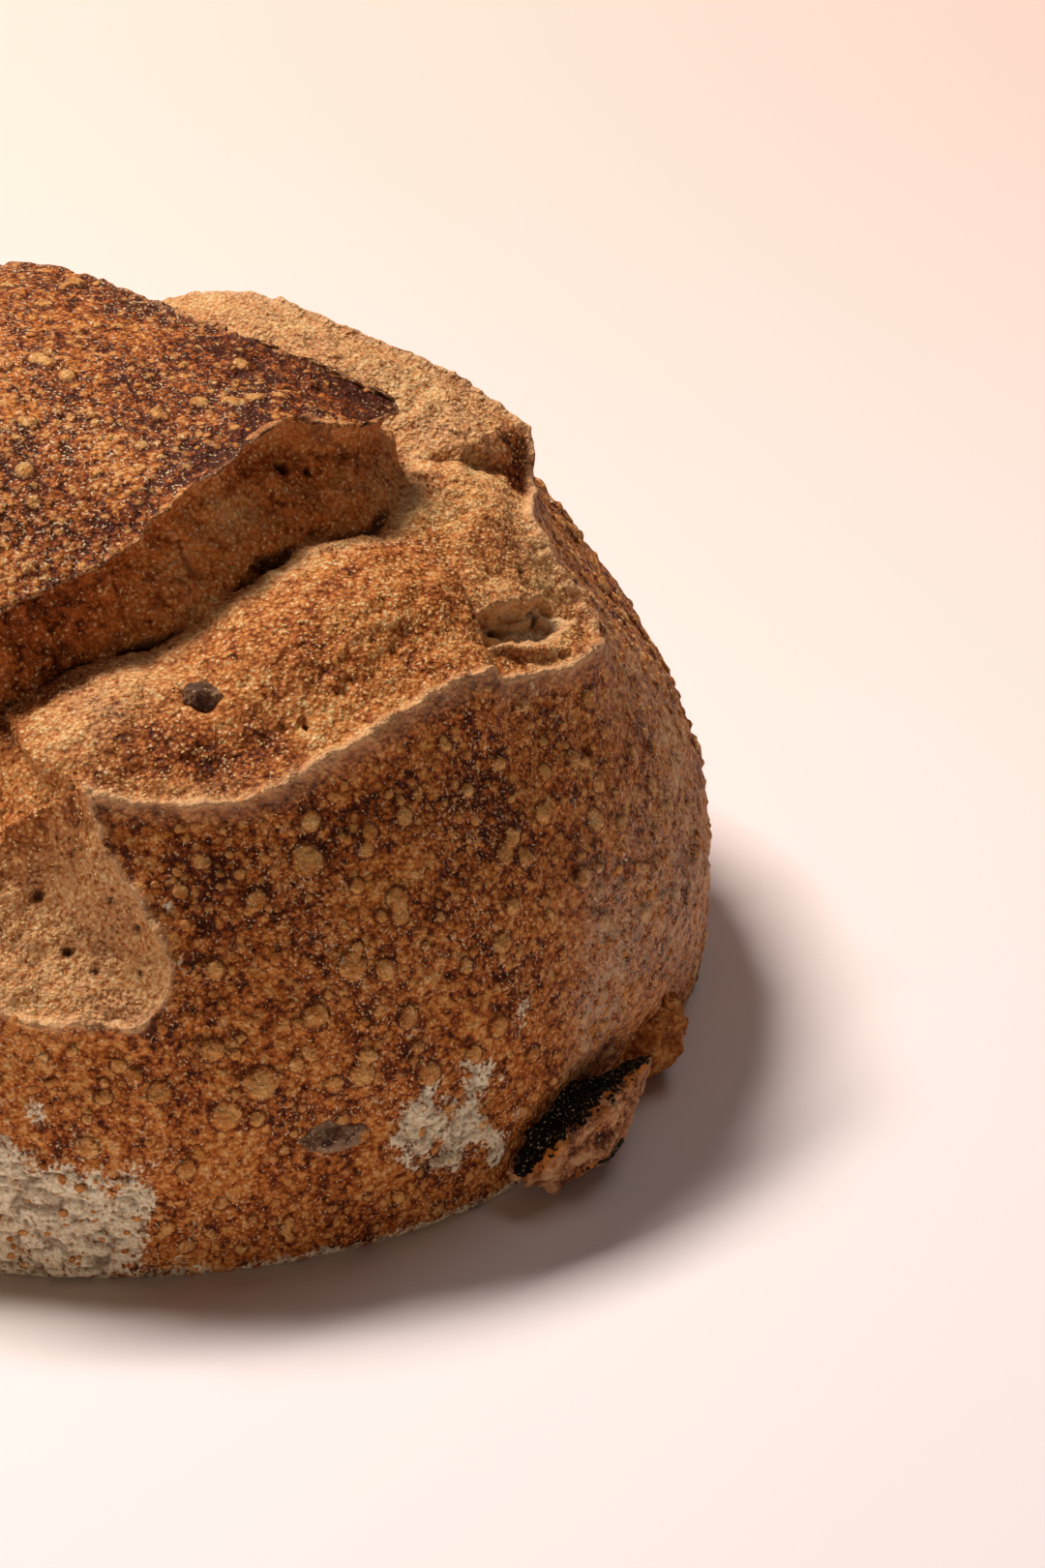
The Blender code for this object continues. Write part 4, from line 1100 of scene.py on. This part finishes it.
# %% The baked crust
def baked_colour(mix, broad, middle, fine, lump, lump_tone, grain):
    """Brown crust: dark in the creases, tan on some lumps, painted shade and highlight on the blisters,
    specks of flour and painted glints, a dull haze.
    """
    tone = mix.total(
        (broad, 0.5), (middle, 0.5), (fine, 0.5), (lump, -0.3), (grain, -0.25), (mix.fact("bake"), -0.25)
    )
    colour = mix.ramp(
        tone, (0.26, (74, 30, 12)), (0.37, (132, 60, 20)), (0.49, (186, 102, 40)), (0.60, (216, 136, 64)),
        (0.74, (238, 184, 118)),
    )
    unburnt = mix.cut(mix.fact("bake"), 0.9, 0.4)
    tan_lumps = mix.math("MULTIPLY", mix.cut(lump, 0.5, 0.2), mix.cut(lump_tone, 0.55, 0.75, 0.6))
    colour = mix.over(colour, (228, 166, 92), mix.math("MULTIPLY", tan_lumps, unburnt))
    # Painted shade: a dark ring round the foot of each blister; the golden top is lighter in the middle as
    # painted highlight.
    blister = mix.fact("blister")
    outline = mix.math("MULTIPLY", mix.cut(blister, 0.0, 0.12, 0.7), mix.cut(blister, 0.4, 0.22))
    colour = mix.over(colour, (84, 36, 12), outline)
    blistered = mix.cut(mix.total((blister, 1.0), (fine, 0.6), (unburnt, 0.3)), 0.9, 1.3, 0.75)
    colour = mix.over(colour, mix.ramp(middle, (0.35, (206, 128, 58)), (0.65, (236, 180, 106))), blistered)
    # Cream specks: flour and bran, and painted glints of light on the crust.
    specks = mix.cut(mix.total((mix.noise(0.5 * MM, 2), 1.0), (mix.fact("specks"), 0.1)), 0.65, 0.73, 0.8)
    colour = mix.over(colour, (240, 204, 156), specks)
    patches = mix.cut(mix.total((mix.noise(0.6 * MM, 3), 0.6), (middle, 0.5)), 0.46, 0.64, 0.8)
    colour = mix.over(colour, (204, 172, 144), mix.math("MULTIPLY", mix.fact("haze"), patches))
    return mix.over(colour, (176, 122, 88), mix.math("MULTIPLY", mix.fact("strip"), 0.4))


def torn_colour(mix, broad, middle, fine, grain, grain_tone):
    """Torn dough: orange gold granules with dark gaps, paler in the pockets, darker on the wall, painted
    shade in the groove and crevice.
    """
    pale = mix.fact("pale")
    # The shade fact darkens the torn dough's tone as painted shade.
    tone = mix.total(
        (broad, 0.5), (middle, 0.45), (fine, 0.4), (grain, -0.35), (pale, 0.08), (mix.fact("wall"), 0.06),
        (mix.fact("shade"), -0.24),
    )
    colour = mix.ramp(
        tone, (0.24, (78, 30, 8)), (0.38, (142, 68, 22)), (0.51, (192, 110, 48)), (0.62, (216, 148, 82)),
        (0.76, (238, 196, 134)),
    )
    colour = mix.over(colour, (230, 188, 136), mix.math("MULTIPLY", pale, mix.cut(fine, 0.3, 0.65, 0.6)))
    orange_wall = mix.math("MULTIPLY", mix.fact("wall"), mix.cut(middle, 0.36, 0.6, 0.6))
    colour = mix.over(colour, (196, 102, 40), orange_wall)
    dark_wall = mix.math("MULTIPLY", mix.fact("wall"), mix.cut(mix.noise(4.5 * MM, 4, 0.8), 0.55, 0.68, 0.6))
    colour = mix.over(colour, (92, 38, 12), dark_wall)
    in_hollow = mix.math("MULTIPLY", mix.fact("hollow"), mix.cut(middle, 0.25, 0.55, 0.85))
    colour = mix.over(colour, (244, 208, 160), in_hollow)
    crumbs = mix.math("MULTIPLY", mix.cut(grain, 0.45, 0.2), mix.cut(grain_tone, 0.7, 0.85, 0.7))
    colour = mix.over(colour, (240, 206, 156), crumbs)
    colour = mix.over(colour, (244, 218, 172), mix.cut(mix.noise(0.45 * MM, 2), 0.66, 0.74, 0.7))
    # Painted shade: the crevice in the groove is painted dark brown.
    return mix.over(colour, (58, 26, 10), mix.cut(mix.fact("crevice"), 0.35, 0.85, 0.8))


def crust_finish():
    mix = Finish("baked_crust", 0.58)
    broad, middle, fine = mix.noise(11 * MM), mix.noise(2.6 * MM, 4, 0.4), mix.noise(0.7 * MM, 4)
    lump, lump_tone = mix.cells(1.7 * MM)
    grain, grain_tone = mix.cells(0.8 * MM)
    crust = baked_colour(mix, broad, middle, fine, lump, lump_tone, grain)
    torn = torn_colour(mix, broad, middle, fine, grain, grain_tone)
    colour = mix.over(crust, torn, mix.fact("torn"))
    ragged_lip = mix.math("MULTIPLY", mix.fact("lip"), mix.cut(middle, 0.25, 0.5, 0.85))
    colour = mix.over(colour, (224, 172, 122), ragged_lip)
    floured = mix.cut(mix.total((mix.fact("flour"), 0.8), (fine, 1.6), (middle, 1.0)), 1.62, 2.0, 0.95)
    flour_colour = mix.ramp(fine, (0.35, (232, 200, 154)), (0.6, (255, 242, 212)))
    colour = mix.over(colour, flour_colour, floured)
    colour = mix.over(colour, (96, 56, 32), mix.math("MULTIPLY", mix.fact("crack"), 0.85))
    # Painted shade: holes, creases and pores are painted nearly black inside.
    colour = mix.over(colour, (40, 18, 8), mix.cut(mix.fact("pit"), 0.2, 0.9, 0.85))
    height = mix.total((lump, -0.8), (grain, -0.5), (fine, 0.8), (mix.noise(0.3 * MM, 2), 0.25))
    return mix.finish(colour, height, 0.55 * MM)


crust = bpy.data.objects.new("crust", crust_mesh)
bpy.context.scene.collection.objects.link(crust)
crust_mesh.materials.append(crust_finish())

# %% [markdown]
# ## Nuts and raisins
#
# A walnut half is a folded, furrowed lump, and where it stood out of the dough it is scorched black, with its
# brown skin curling off. A raisin is dark and wrinkled along its length. A ball is pushed in and out by the
# solid's own formula, and finer wrinkles are added to it.

# %% The shapes: relief in shares of the radius, angles round the length in degrees from the outside
NUT_UNEVENNESS = 0.12
FURROW_DEPTH = 0.22
FURROW_WIDTH = 0.16
LOBE_HEIGHT = 0.10
OPEN_NUT_RIDGE = 0.16
OPEN_NUT_RIDGE_ANGLE = 48
OPEN_NUT_RIDGE_SPREAD = 16
OPEN_NUT_HOLLOW = 0.5
OPEN_NUT_HOLLOW_ANGLE = 100
OPEN_NUT_HOLLOW_SPREAD = 34
OPEN_NUT_TAPER = 0.3
RAISIN_UNEVENNESS = 0.10
RAISIN_WRINKLES = 6
RAISIN_WRINKLE_HEIGHT = 0.07


def uneven_nut(direction):
    return 1 + NUT_UNEVENNESS * noise.noise(direction * 2.3)


def lobes(direction):
    """Rounded lobes, folded alike to either side of the furrow."""
    aside = abs(direction.y)
    return LOBE_HEIGHT * math.sin(9 * direction.x + 2.5 * aside) * math.sin(4 + 7 * aside)


def degrees_around(direction):
    return math.degrees(math.atan2(direction.y, direction.z))


def walnut_shape(direction):
    """Distance from the middle of a walnut half: a furrow along its back and lobes folded to either side."""
    furrow = FURROW_DEPTH * hill(direction.y, FURROW_WIDTH) * smoothstep(-0.2, 0.5, direction.z)
    return uneven_nut(direction) - furrow + lobes(direction)


def covered_walnut_shape(direction):
    """A walnut half under a skin of dough."""
    return uneven_nut(direction) + lobes(direction) / 2


def open_walnut_shape(direction):
    """A broken half: hollow on its upper side, with a sharp ridge before the hollow."""
    around = degrees_around(direction)
    ridge = OPEN_NUT_RIDGE * hill(around - OPEN_NUT_RIDGE_ANGLE, OPEN_NUT_RIDGE_SPREAD)
    hollow = OPEN_NUT_HOLLOW * hill(around - OPEN_NUT_HOLLOW_ANGLE, OPEN_NUT_HOLLOW_SPREAD)
    taper = OPEN_NUT_TAPER * smoothstep(0.1, 1, direction.x) * (1 - direction.x**2) * 2
    return uneven_nut(direction) + (ridge - hollow) * (1 - direction.x**4) - taper + lobes(direction) / 2


def raisin_shape(direction):
    """Distance from the middle of a raisin: wrinkles that run along it."""
    around = math.atan2(direction.z, direction.y)
    wrinkles = RAISIN_WRINKLE_HEIGHT * math.sin(RAISIN_WRINKLES * around + 3 * direction.x)
    wrinkles *= 1 - direction.x**2
    return 1 + wrinkles + RAISIN_UNEVENNESS * noise.noise(direction * 2.1 + Vector((3, 1, 4)))


# %% Their finishes
def nut_flecks(mix, colour, low, most):
    """Fine cream flecks of dried skin and flour."""
    return mix.over(colour, (232, 204, 160), mix.cut(mix.noise(0.45 * MM, 3), low, low + 0.07, most))


def walnut_finish():
    mix = Finish("scorched_walnut", 0.55)
    tone = mix.total((mix.noise(4 * MM, 3), 1.0), (mix.fact("fold"), 2.2))
    colour = mix.ramp(
        tone, (0.36, (30, 16, 12)), (0.5, (84, 46, 28)), (0.62, (140, 80, 46)), (0.78, (186, 128, 84)),
    )
    return mix.finish(nut_flecks(mix, colour, 0.6, 0.8), mix.noise(0.6 * MM, 4), 0.4 * MM)


def open_walnut_finish():
    """Black in the hollow from char and painted shade, an orange broken edge, and purple brown skin with pale
    flecks outside.
    """
    mix = Finish("open_walnut", 0.6)
    fine = mix.noise(0.8 * MM, 4)
    tone = mix.total((mix.noise(3.5 * MM, 4, 0.6), 0.8), (fine, 0.3), (mix.fact("fold"), 1.4))
    skin = mix.ramp(
        tone, (0.36, (52, 27, 20)), (0.48, (124, 72, 48)), (0.58, (188, 122, 78)), (0.72, (232, 178, 130)),
    )
    skin = nut_flecks(mix, skin, 0.6, 0.8)
    char = mix.total((mix.fact("char"), 1.0), (mix.noise(1.6 * MM, 4), 0.9), (fine, 0.3))
    broken = mix.math("MULTIPLY", mix.cut(char, 0.85, 1.0), mix.cut(mix.noise(5 * MM, 2), 0.42, 0.56, 0.95))
    colour = mix.over(skin, (224, 134, 56), broken)
    # Black: char, with painted shade in the hollow and under the curl.
    black = nut_flecks(mix, (24, 15, 9), 0.6, 0.85)
    colour = mix.over(colour, black, mix.cut(char, 1.08, 1.14))
    return mix.finish(colour, fine, 0.5 * MM)


def covered_walnut_finish():
    mix = Finish("dough_over_nut", 0.6)
    middle, fine = mix.noise(2.6 * MM, 4, 0.4), mix.noise(0.7 * MM, 4)
    tone = mix.total((middle, 0.8), (fine, 0.5), (mix.fact("fold"), 0.8))
    colour = mix.ramp(
        tone, (0.45, (84, 38, 14)), (0.58, (156, 84, 34)), (0.7, (200, 122, 56)), (0.85, (226, 164, 98)),
    )
    return mix.finish(nut_flecks(mix, colour, 0.62, 0.7), fine, 0.5 * MM)


def raisin_colour(mix):
    # The tops of the folds are painted lighter, as painted highlight, and the creases darker, as painted
    # shade.
    tone = mix.total((mix.noise(3 * MM, 3), 1.0), (mix.fact("fold"), 2.0))
    colour = mix.ramp(tone, (0.35, (50, 29, 20)), (0.6, (98, 63, 42)), (0.8, (156, 118, 88)))
    return nut_flecks(mix, colour, 0.62, 0.6)


def raisin_finish():
    mix = Finish("baked_raisin", 0.6)
    return mix.finish(raisin_colour(mix), mix.noise(0.7 * MM, 3), 0.25 * MM)


def floured_raisin_finish():
    """Brown grey with the flour that baked onto it."""
    mix = Finish("floured_raisin", 0.65)
    film = mix.cut(mix.total((mix.noise(2.5 * MM, 4), 1.0), (mix.fact("fold"), 1.0)), 0.3, 0.6, 0.8)
    colour = mix.over(raisin_colour(mix), (164, 130, 104), film)
    return mix.finish(nut_flecks(mix, colour, 0.6, 0.6), mix.noise(0.7 * MM, 3), 0.25 * MM)


# %% The kinds: shape, fine folds (size and height, in shares of the radius), finish, slot
NUT_FOLDS = ((0.35, 0.10), (0.14, 0.06), (0.06, 0.03))
DOUGH_FOLDS = ((0.3, 0.06), (0.12, 0.05), (0.06, 0.03))
RAISIN_FOLDS = ((0.5, 0.06), (0.2, 0.05), (0.09, 0.02))
KINDS = {
    "walnut": (walnut_shape, NUT_FOLDS, walnut_finish(), "walnut"),
    "open walnut": (open_walnut_shape, NUT_FOLDS, open_walnut_finish(), "walnut"),
    "covered walnut": (covered_walnut_shape, DOUGH_FOLDS, covered_walnut_finish(), "walnut"),
    "raisin": (raisin_shape, RAISIN_FOLDS, raisin_finish(), "raisin"),
    "floured raisin": (raisin_shape, RAISIN_FOLDS, floured_raisin_finish(), "raisin"),
}
BALL_DETAIL = {"walnut": 6, "raisin": 5}
CHAR_SPREAD = 58
CURL_ANGLE = -28
CURL_SPREAD = 15
CURL_MIDDLE = -0.1
CURL_LENGTH = 0.45
CURL_CHAR = 0.9


def folded(direction, folds):
    """Ridges that are sharp at the top, as dried skin has."""
    return sum(
        height * (0.5 - 2 * abs(noise.noise(direction / size + Vector((7, 2, 5))))) for size, height in folds
    )


def charring_and_shade(direction):
    """1 where the open nut is black: char, with painted shade in the hollow and under the curled edge of its
    skin.
    """
    around = degrees_around(direction)
    under_the_curl = CURL_CHAR * hill(around - CURL_ANGLE, CURL_SPREAD)
    under_the_curl *= hill(direction.x - CURL_MIDDLE, CURL_LENGTH)
    return max(hill(around - OPEN_NUT_HOLLOW_ANGLE, CHAR_SPREAD), under_the_curl)


# %% The nuts and raisins
def make_piece(name):
    """One nut or raisin as a mesh in its place, with how deep its folds are and where it is black from char
    and painted shade.
    """
    kind, size, *_ = SEATED_PIECES[name]
    shape, folds, finish, slot = KINDS[kind]
    ball = bmesh.new()
    bmesh.ops.create_icosphere(ball, subdivisions=BALL_DETAIL[slot], radius=1)
    directions = [vertex.co.normalized() for vertex in ball.verts]
    facts = {
        "fold": np.array([folded(direction, folds) for direction in directions]),
        "char": np.array([charring_and_shade(direction) for direction in directions]),
    }
    for vertex, direction, fold in zip(ball.verts, directions, facts["fold"].tolist()):
        scale = (shape(direction) + fold) * MM / 2
        vertex.co = SEATS[name] @ Vector([part * side * scale for part, side in zip(direction, size)])
        vertex.co.z = max(vertex.co.z, 0)
    mesh = bpy.data.meshes.new(name + "_baked")
    ball.to_mesh(mesh)
    ball.free()
    for fact, values in facts.items():
        mesh.attributes.new(fact, "FLOAT", "POINT").data.foreach_set("value", values)
    mesh.materials.append(finish)
    mesh.shade_smooth()
    piece = bpy.data.objects.new(name + "_baked", mesh)
    bpy.context.scene.collection.objects.link(piece)
    return piece


SEATED = {name: make_piece(name) for name in SEATED_PIECES}
print("nuts and raisins:", ", ".join(SEATED))

# %% [markdown]
# ## Flour grains, crumbs and small blisters
#
# Thousands of small things cover the crust. Geometry Nodes scatter them: points are drawn on the crust with a
# density that the mesh's own facts set, each gets a small ball of a few faces, flattened onto the skin, and
# the result is turned into a plain mesh. One tree serves for every kind, and its inputs name the sizes.

# %% The scattering tree
TREE_INPUTS = {
    "Geometry": "NodeSocketGeometry", "Per square metre": "NodeSocketFloat", "Where": "NodeSocketString",
    "Smallest": "NodeSocketFloat", "Largest": "NodeSocketFloat", "Skew": "NodeSocketFloat",
    "Shape": "NodeSocketVector", "Tilt": "NodeSocketFloat", "Sides": "NodeSocketInt",
    "Rings": "NodeSocketInt", "Smooth": "NodeSocketBool", "Seed": "NodeSocketInt",
    "Finish": "NodeSocketMaterial",
}
TILT_SEED = 5
FULL_TILT = (1, 1, math.pi)


def scattering_tree():
    tree = bpy.data.node_groups.new("scattered_on_the_crust", "GeometryNodeTree")
    for name, kind in TREE_INPUTS.items():
        tree.interface.new_socket(name, in_out="INPUT", socket_type=kind)
    tree.interface.new_socket("Geometry", in_out="OUTPUT", socket_type="NodeSocketGeometry")
    given = tree.nodes.new("NodeGroupInput").outputs

    def add(kind, inputs=(), **settings):
        node = tree.nodes.new(kind)
        for name, value in settings.items():
            setattr(node, name, value)
        for name, value in dict(inputs).items():
            if isinstance(value, bpy.types.NodeSocket):
                tree.links.new(value, node.inputs[name])
            else:
                node.inputs[name].default_value = value
        return node

    where = add("GeometryNodeInputNamedAttribute", {"Name": given["Where"]}, data_type="FLOAT")
    density = add(
        "ShaderNodeMath", {0: where.outputs["Attribute"], 1: given["Per square metre"]}, operation="MULTIPLY"
    )
    points = add(
        "GeometryNodeDistributePointsOnFaces",
        {"Mesh": given["Geometry"], "Density": density.outputs[0], "Seed": given["Seed"]},
    )
    draw = add("FunctionNodeRandomValue", {"Seed": given["Seed"]}, data_type="FLOAT").outputs[1]
    skewed = add("ShaderNodeMath", {0: draw, 1: given["Skew"]}, operation="POWER").outputs[0]
    size = add(
        "ShaderNodeMapRange", {"Value": skewed, "To Min": given["Smallest"], "To Max": given["Largest"]}
    )
    flattened = add(
        "ShaderNodeVectorMath", {0: given["Shape"], "Scale": size.outputs["Result"]}, operation="SCALE"
    ).outputs[0]
    tilt = add(
        "FunctionNodeRandomValue", {"Seed": TILT_SEED, 0: [-most for most in FULL_TILT], 1: FULL_TILT},
        data_type="FLOAT_VECTOR",
    )
    limits = add("ShaderNodeCombineXYZ", {"X": given["Tilt"], "Y": given["Tilt"], "Z": 1.0}).outputs[0]
    turn = add("ShaderNodeVectorMath", {0: tilt.outputs[0], 1: limits}, operation="MULTIPLY").outputs[0]
    turned = add(
        "FunctionNodeRotateRotation",
        {
            "Rotation": points.outputs["Rotation"],
            "Rotate By": add("FunctionNodeEulerToRotation", {0: turn}).outputs[0],
        },
        rotation_space="LOCAL",
    ).outputs[0]
    ball = add(
        "GeometryNodeMeshUVSphere", {"Segments": given["Sides"], "Rings": given["Rings"], "Radius": 0.5}
    ).outputs["Mesh"]
    placed = add(
        "GeometryNodeInstanceOnPoints",
        {"Points": points.outputs["Points"], "Instance": ball, "Rotation": turned, "Scale": flattened},
    ).outputs[0]
    toned = add(
        "GeometryNodeStoreNamedAttribute", {"Geometry": placed, "Name": "tone", "Value": draw},
        data_type="FLOAT", domain="INSTANCE",
    ).outputs[0]
    real = add("GeometryNodeRealizeInstances", {"Geometry": toned}).outputs[0]
    shaded = add("GeometryNodeSetShadeSmooth", {"Geometry": real, "Shade Smooth": given["Smooth"]}).outputs[0]
    coated = add("GeometryNodeSetMaterial", {"Geometry": shaded, "Material": given["Finish"]}).outputs[0]
    tree.links.new(coated, add("NodeGroupOutput").inputs["Geometry"])
    return tree


# %% Scattering one kind of thing
SCATTERING = scattering_tree()


def scatter(name, settings):
    """A plain mesh of one kind of small thing on the crust."""
    carrier = bpy.data.objects.new(name + "_carrier", crust_mesh)
    bpy.context.scene.collection.objects.link(carrier)
    modifier = carrier.modifiers.new("scatter", "NODES")
    modifier.node_group = SCATTERING
    for item in SCATTERING.interface.items_tree:
        if item.in_out == "INPUT" and item.name in settings:
            modifier[item.identifier] = settings[item.name]
    evaluated = carrier.evaluated_get(bpy.context.evaluated_depsgraph_get())
    mesh = bpy.data.meshes.new_from_object(evaluated)
    mesh.name = name
    bpy.data.objects.remove(carrier)
    piece = bpy.data.objects.new(name, mesh)
    bpy.context.scene.collection.objects.link(piece)
    print(name, "triangles:", sum(len(face.vertices) - 2 for face in mesh.polygons))
    return piece


# %% Their finishes
def grain_finish(name, dark, light, roughness=0.75):
    mix = Finish(name, roughness)
    tone = mix.total((mix.fact("tone"), 0.6), (mix.noise(4 * MM), 0.4))
    return mix.finish(mix.ramp(tone, (0.25, dark), (0.8, light)))


def blister_finish():
    mix = Finish("small_blisters", 0.55)
    tone = mix.noise(2.2 * MM, 4)
    colour = mix.ramp(tone, (0.3, (150, 80, 32)), (0.5, (196, 122, 58)), (0.75, (228, 170, 104)))
    colour = mix.over(colour, (232, 196, 146), mix.cut(mix.noise(0.5 * MM, 2), 0.62, 0.72, 0.7))
    return mix.finish(colour, mix.noise(0.7 * MM, 3), 0.2 * MM)


# %% The scattered pieces
SCATTERED = {
    "flour_grains": scatter("flour_grains", {
        "Per square metre": 4.8e5, "Where": "grain_share", "Smallest": 0.16 * MM, "Largest": 0.5 * MM,
        "Skew": 2.0, "Shape": (1.0, 0.7, 0.5), "Tilt": 0.5, "Sides": 4, "Rings": 2, "Smooth": False,
        "Seed": 31, "Finish": grain_finish("flour_grain", (176, 122, 74), (244, 216, 172)),
    }),
    "crumb_grains": scatter("crumb_grains", {
        "Per square metre": 9.0e5, "Where": "crumb_share", "Smallest": 0.25 * MM, "Largest": 0.8 * MM,
        "Skew": 2.0, "Shape": (1.0, 0.8, 0.6), "Tilt": 0.6, "Sides": 4, "Rings": 2, "Smooth": False,
        "Seed": 41, "Finish": grain_finish("torn_crumb", (168, 92, 38), (238, 194, 130)),
    }),
    "small_blisters": scatter("small_blisters", {
        "Per square metre": 6.0e4, "Where": "blister_share", "Smallest": 0.7 * MM, "Largest": 2.2 * MM,
        "Skew": 2.5, "Shape": (1.0, 0.8, 0.32), "Tilt": 0.1, "Sides": 8, "Rings": 4, "Smooth": True,
        "Seed": 51, "Finish": blister_finish(),
    }),
}

# %% [markdown]
# ## The studio
#
# The loaf stands on a seamless pale peach surface, painted paler towards the camera as painted light. A long,
# narrow soft box hangs high on the left, behind the loaf, and gives the shadow to the right and front. A weak
# box behind on the right and a weak warm one low on the camera's side lighten that shadow, and so do the lit
# surface and a dim surround. The camera looks along +Y and down by 29 degrees, with the loaf cropped at the
# left.

# %% Floor, light and surround
FLOOR_SIZE = 6.0
FLOOR_DROP = 0.05 * MM
# The floor's colour runs from pinker far away to paler near the camera: painted light.
FLOOR_NEAR = (-0.2, (0.95, 0.83, 0.79, 1.0))
FLOOR_FAR = (0.5, (0.95, 0.62, 0.53, 1.0))
NEUTRAL = (1.0, 0.98, 0.96)
WARM = (1.0, 0.84, 0.7)
# Each soft light: place, degrees tilted up from facing down, degrees turned, length, width, power and colour
SOFT_LIGHTS = {
    "key": ((-0.57, 0.40, 1.46), 0, 37, 0.72, 0.25, 37, NEUTRAL),
    "right": ((0.61, 0.51, 1.43), 30, 130, 0.9, 0.6, 2.8, NEUTRAL),
    "front": ((-0.27, -1.94, 0.45), 78, -8, 1.6, 0.6, 4.6, WARM),
}
SURROUND_COLOUR = (1.0, 0.8, 0.66, 1.0)
SURROUND_STRENGTH = 0.008


def floor_finish():
    mix = Finish("pale_surface", 0.9, specular=0.05)
    place = mix.add("ShaderNodeSeparateXYZ", {"Vector": mix.places}).outputs["Y"]
    share = mix.cut(place, FLOOR_NEAR[0], FLOOR_FAR[0])
    colours = mix.add("ShaderNodeMix", {0: share, 6: FLOOR_NEAR[1], 7: FLOOR_FAR[1]}, data_type="RGBA")
    return mix.finish(colours.outputs[2])


def make_floor():
    mesh = bpy.data.meshes.new("floor")
    half = FLOOR_SIZE / 2
    corners = [(x * half, y * half, -FLOOR_DROP) for x, y in ((-1, -1), (1, -1), (1, 1), (-1, 1))]
    mesh.from_pydata(corners, [], [(0, 1, 2, 3)])
    mesh.materials.append(floor_finish())
    floor = bpy.data.objects.new("floor", mesh)
    bpy.context.scene.collection.objects.link(floor)
    return floor


make_floor()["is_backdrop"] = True


def soft_light(name, place, tilt, turn, length, width, power, colour):
    data = bpy.data.lights.new(name, "AREA")
    data.shape = "RECTANGLE"
    data.size = length
    data.size_y = width
    data.energy = power
    data.color = colour
    light = bpy.data.objects.new(name, data)
    light.location = place
    light.rotation_euler = (math.radians(tilt), 0, math.radians(turn))
    bpy.context.scene.collection.objects.link(light)


for name, row in SOFT_LIGHTS.items():
    soft_light(name, *row)
world = bpy.data.worlds.new("surround")
world.use_nodes = True
world.node_tree.nodes["Background"].inputs["Color"].default_value = SURROUND_COLOUR
world.node_tree.nodes["Background"].inputs["Strength"].default_value = SURROUND_STRENGTH
bpy.context.scene.world = world
bpy.context.scene.view_settings.view_transform = "Standard"

# %% The camera
CAMERA_LENS = 100
CAMERA_SENSOR = 36
CAMERA_AWAY = 0.75
CAMERA_DOWN = math.radians(29)
AIM = Vector((65.2 * MM, 0, 36.2 * MM)) + Vector(STEP)

camera_data = bpy.data.cameras.new("camera")
camera_data.lens = CAMERA_LENS
camera_data.sensor_width = CAMERA_SENSOR
camera = bpy.data.objects.new("camera", camera_data)
camera.location = AIM + CAMERA_AWAY * Vector((0, -math.cos(CAMERA_DOWN), math.sin(CAMERA_DOWN)))
camera.rotation_euler = (math.pi / 2 - CAMERA_DOWN, 0, 0)
bpy.context.scene.collection.objects.link(camera)
bpy.context.scene.camera = camera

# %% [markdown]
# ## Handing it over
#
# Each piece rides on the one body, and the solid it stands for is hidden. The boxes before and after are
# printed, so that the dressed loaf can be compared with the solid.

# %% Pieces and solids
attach(crust, "root")
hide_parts("loaf")
for name, piece in SEATED.items():
    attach(piece, "root")
    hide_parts(name)
for piece in SCATTERED.values():
    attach(piece, "root")

# %% Sizes, and the end
VISUAL_BOX = [list(corner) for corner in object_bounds()]
for name, (low, high) in {"solid": CAD_BOX, "dressed": VISUAL_BOX}.items():
    print(name, "sides in mm:", [round((end - start) / MM, 1) for start, end in zip(low, high)])
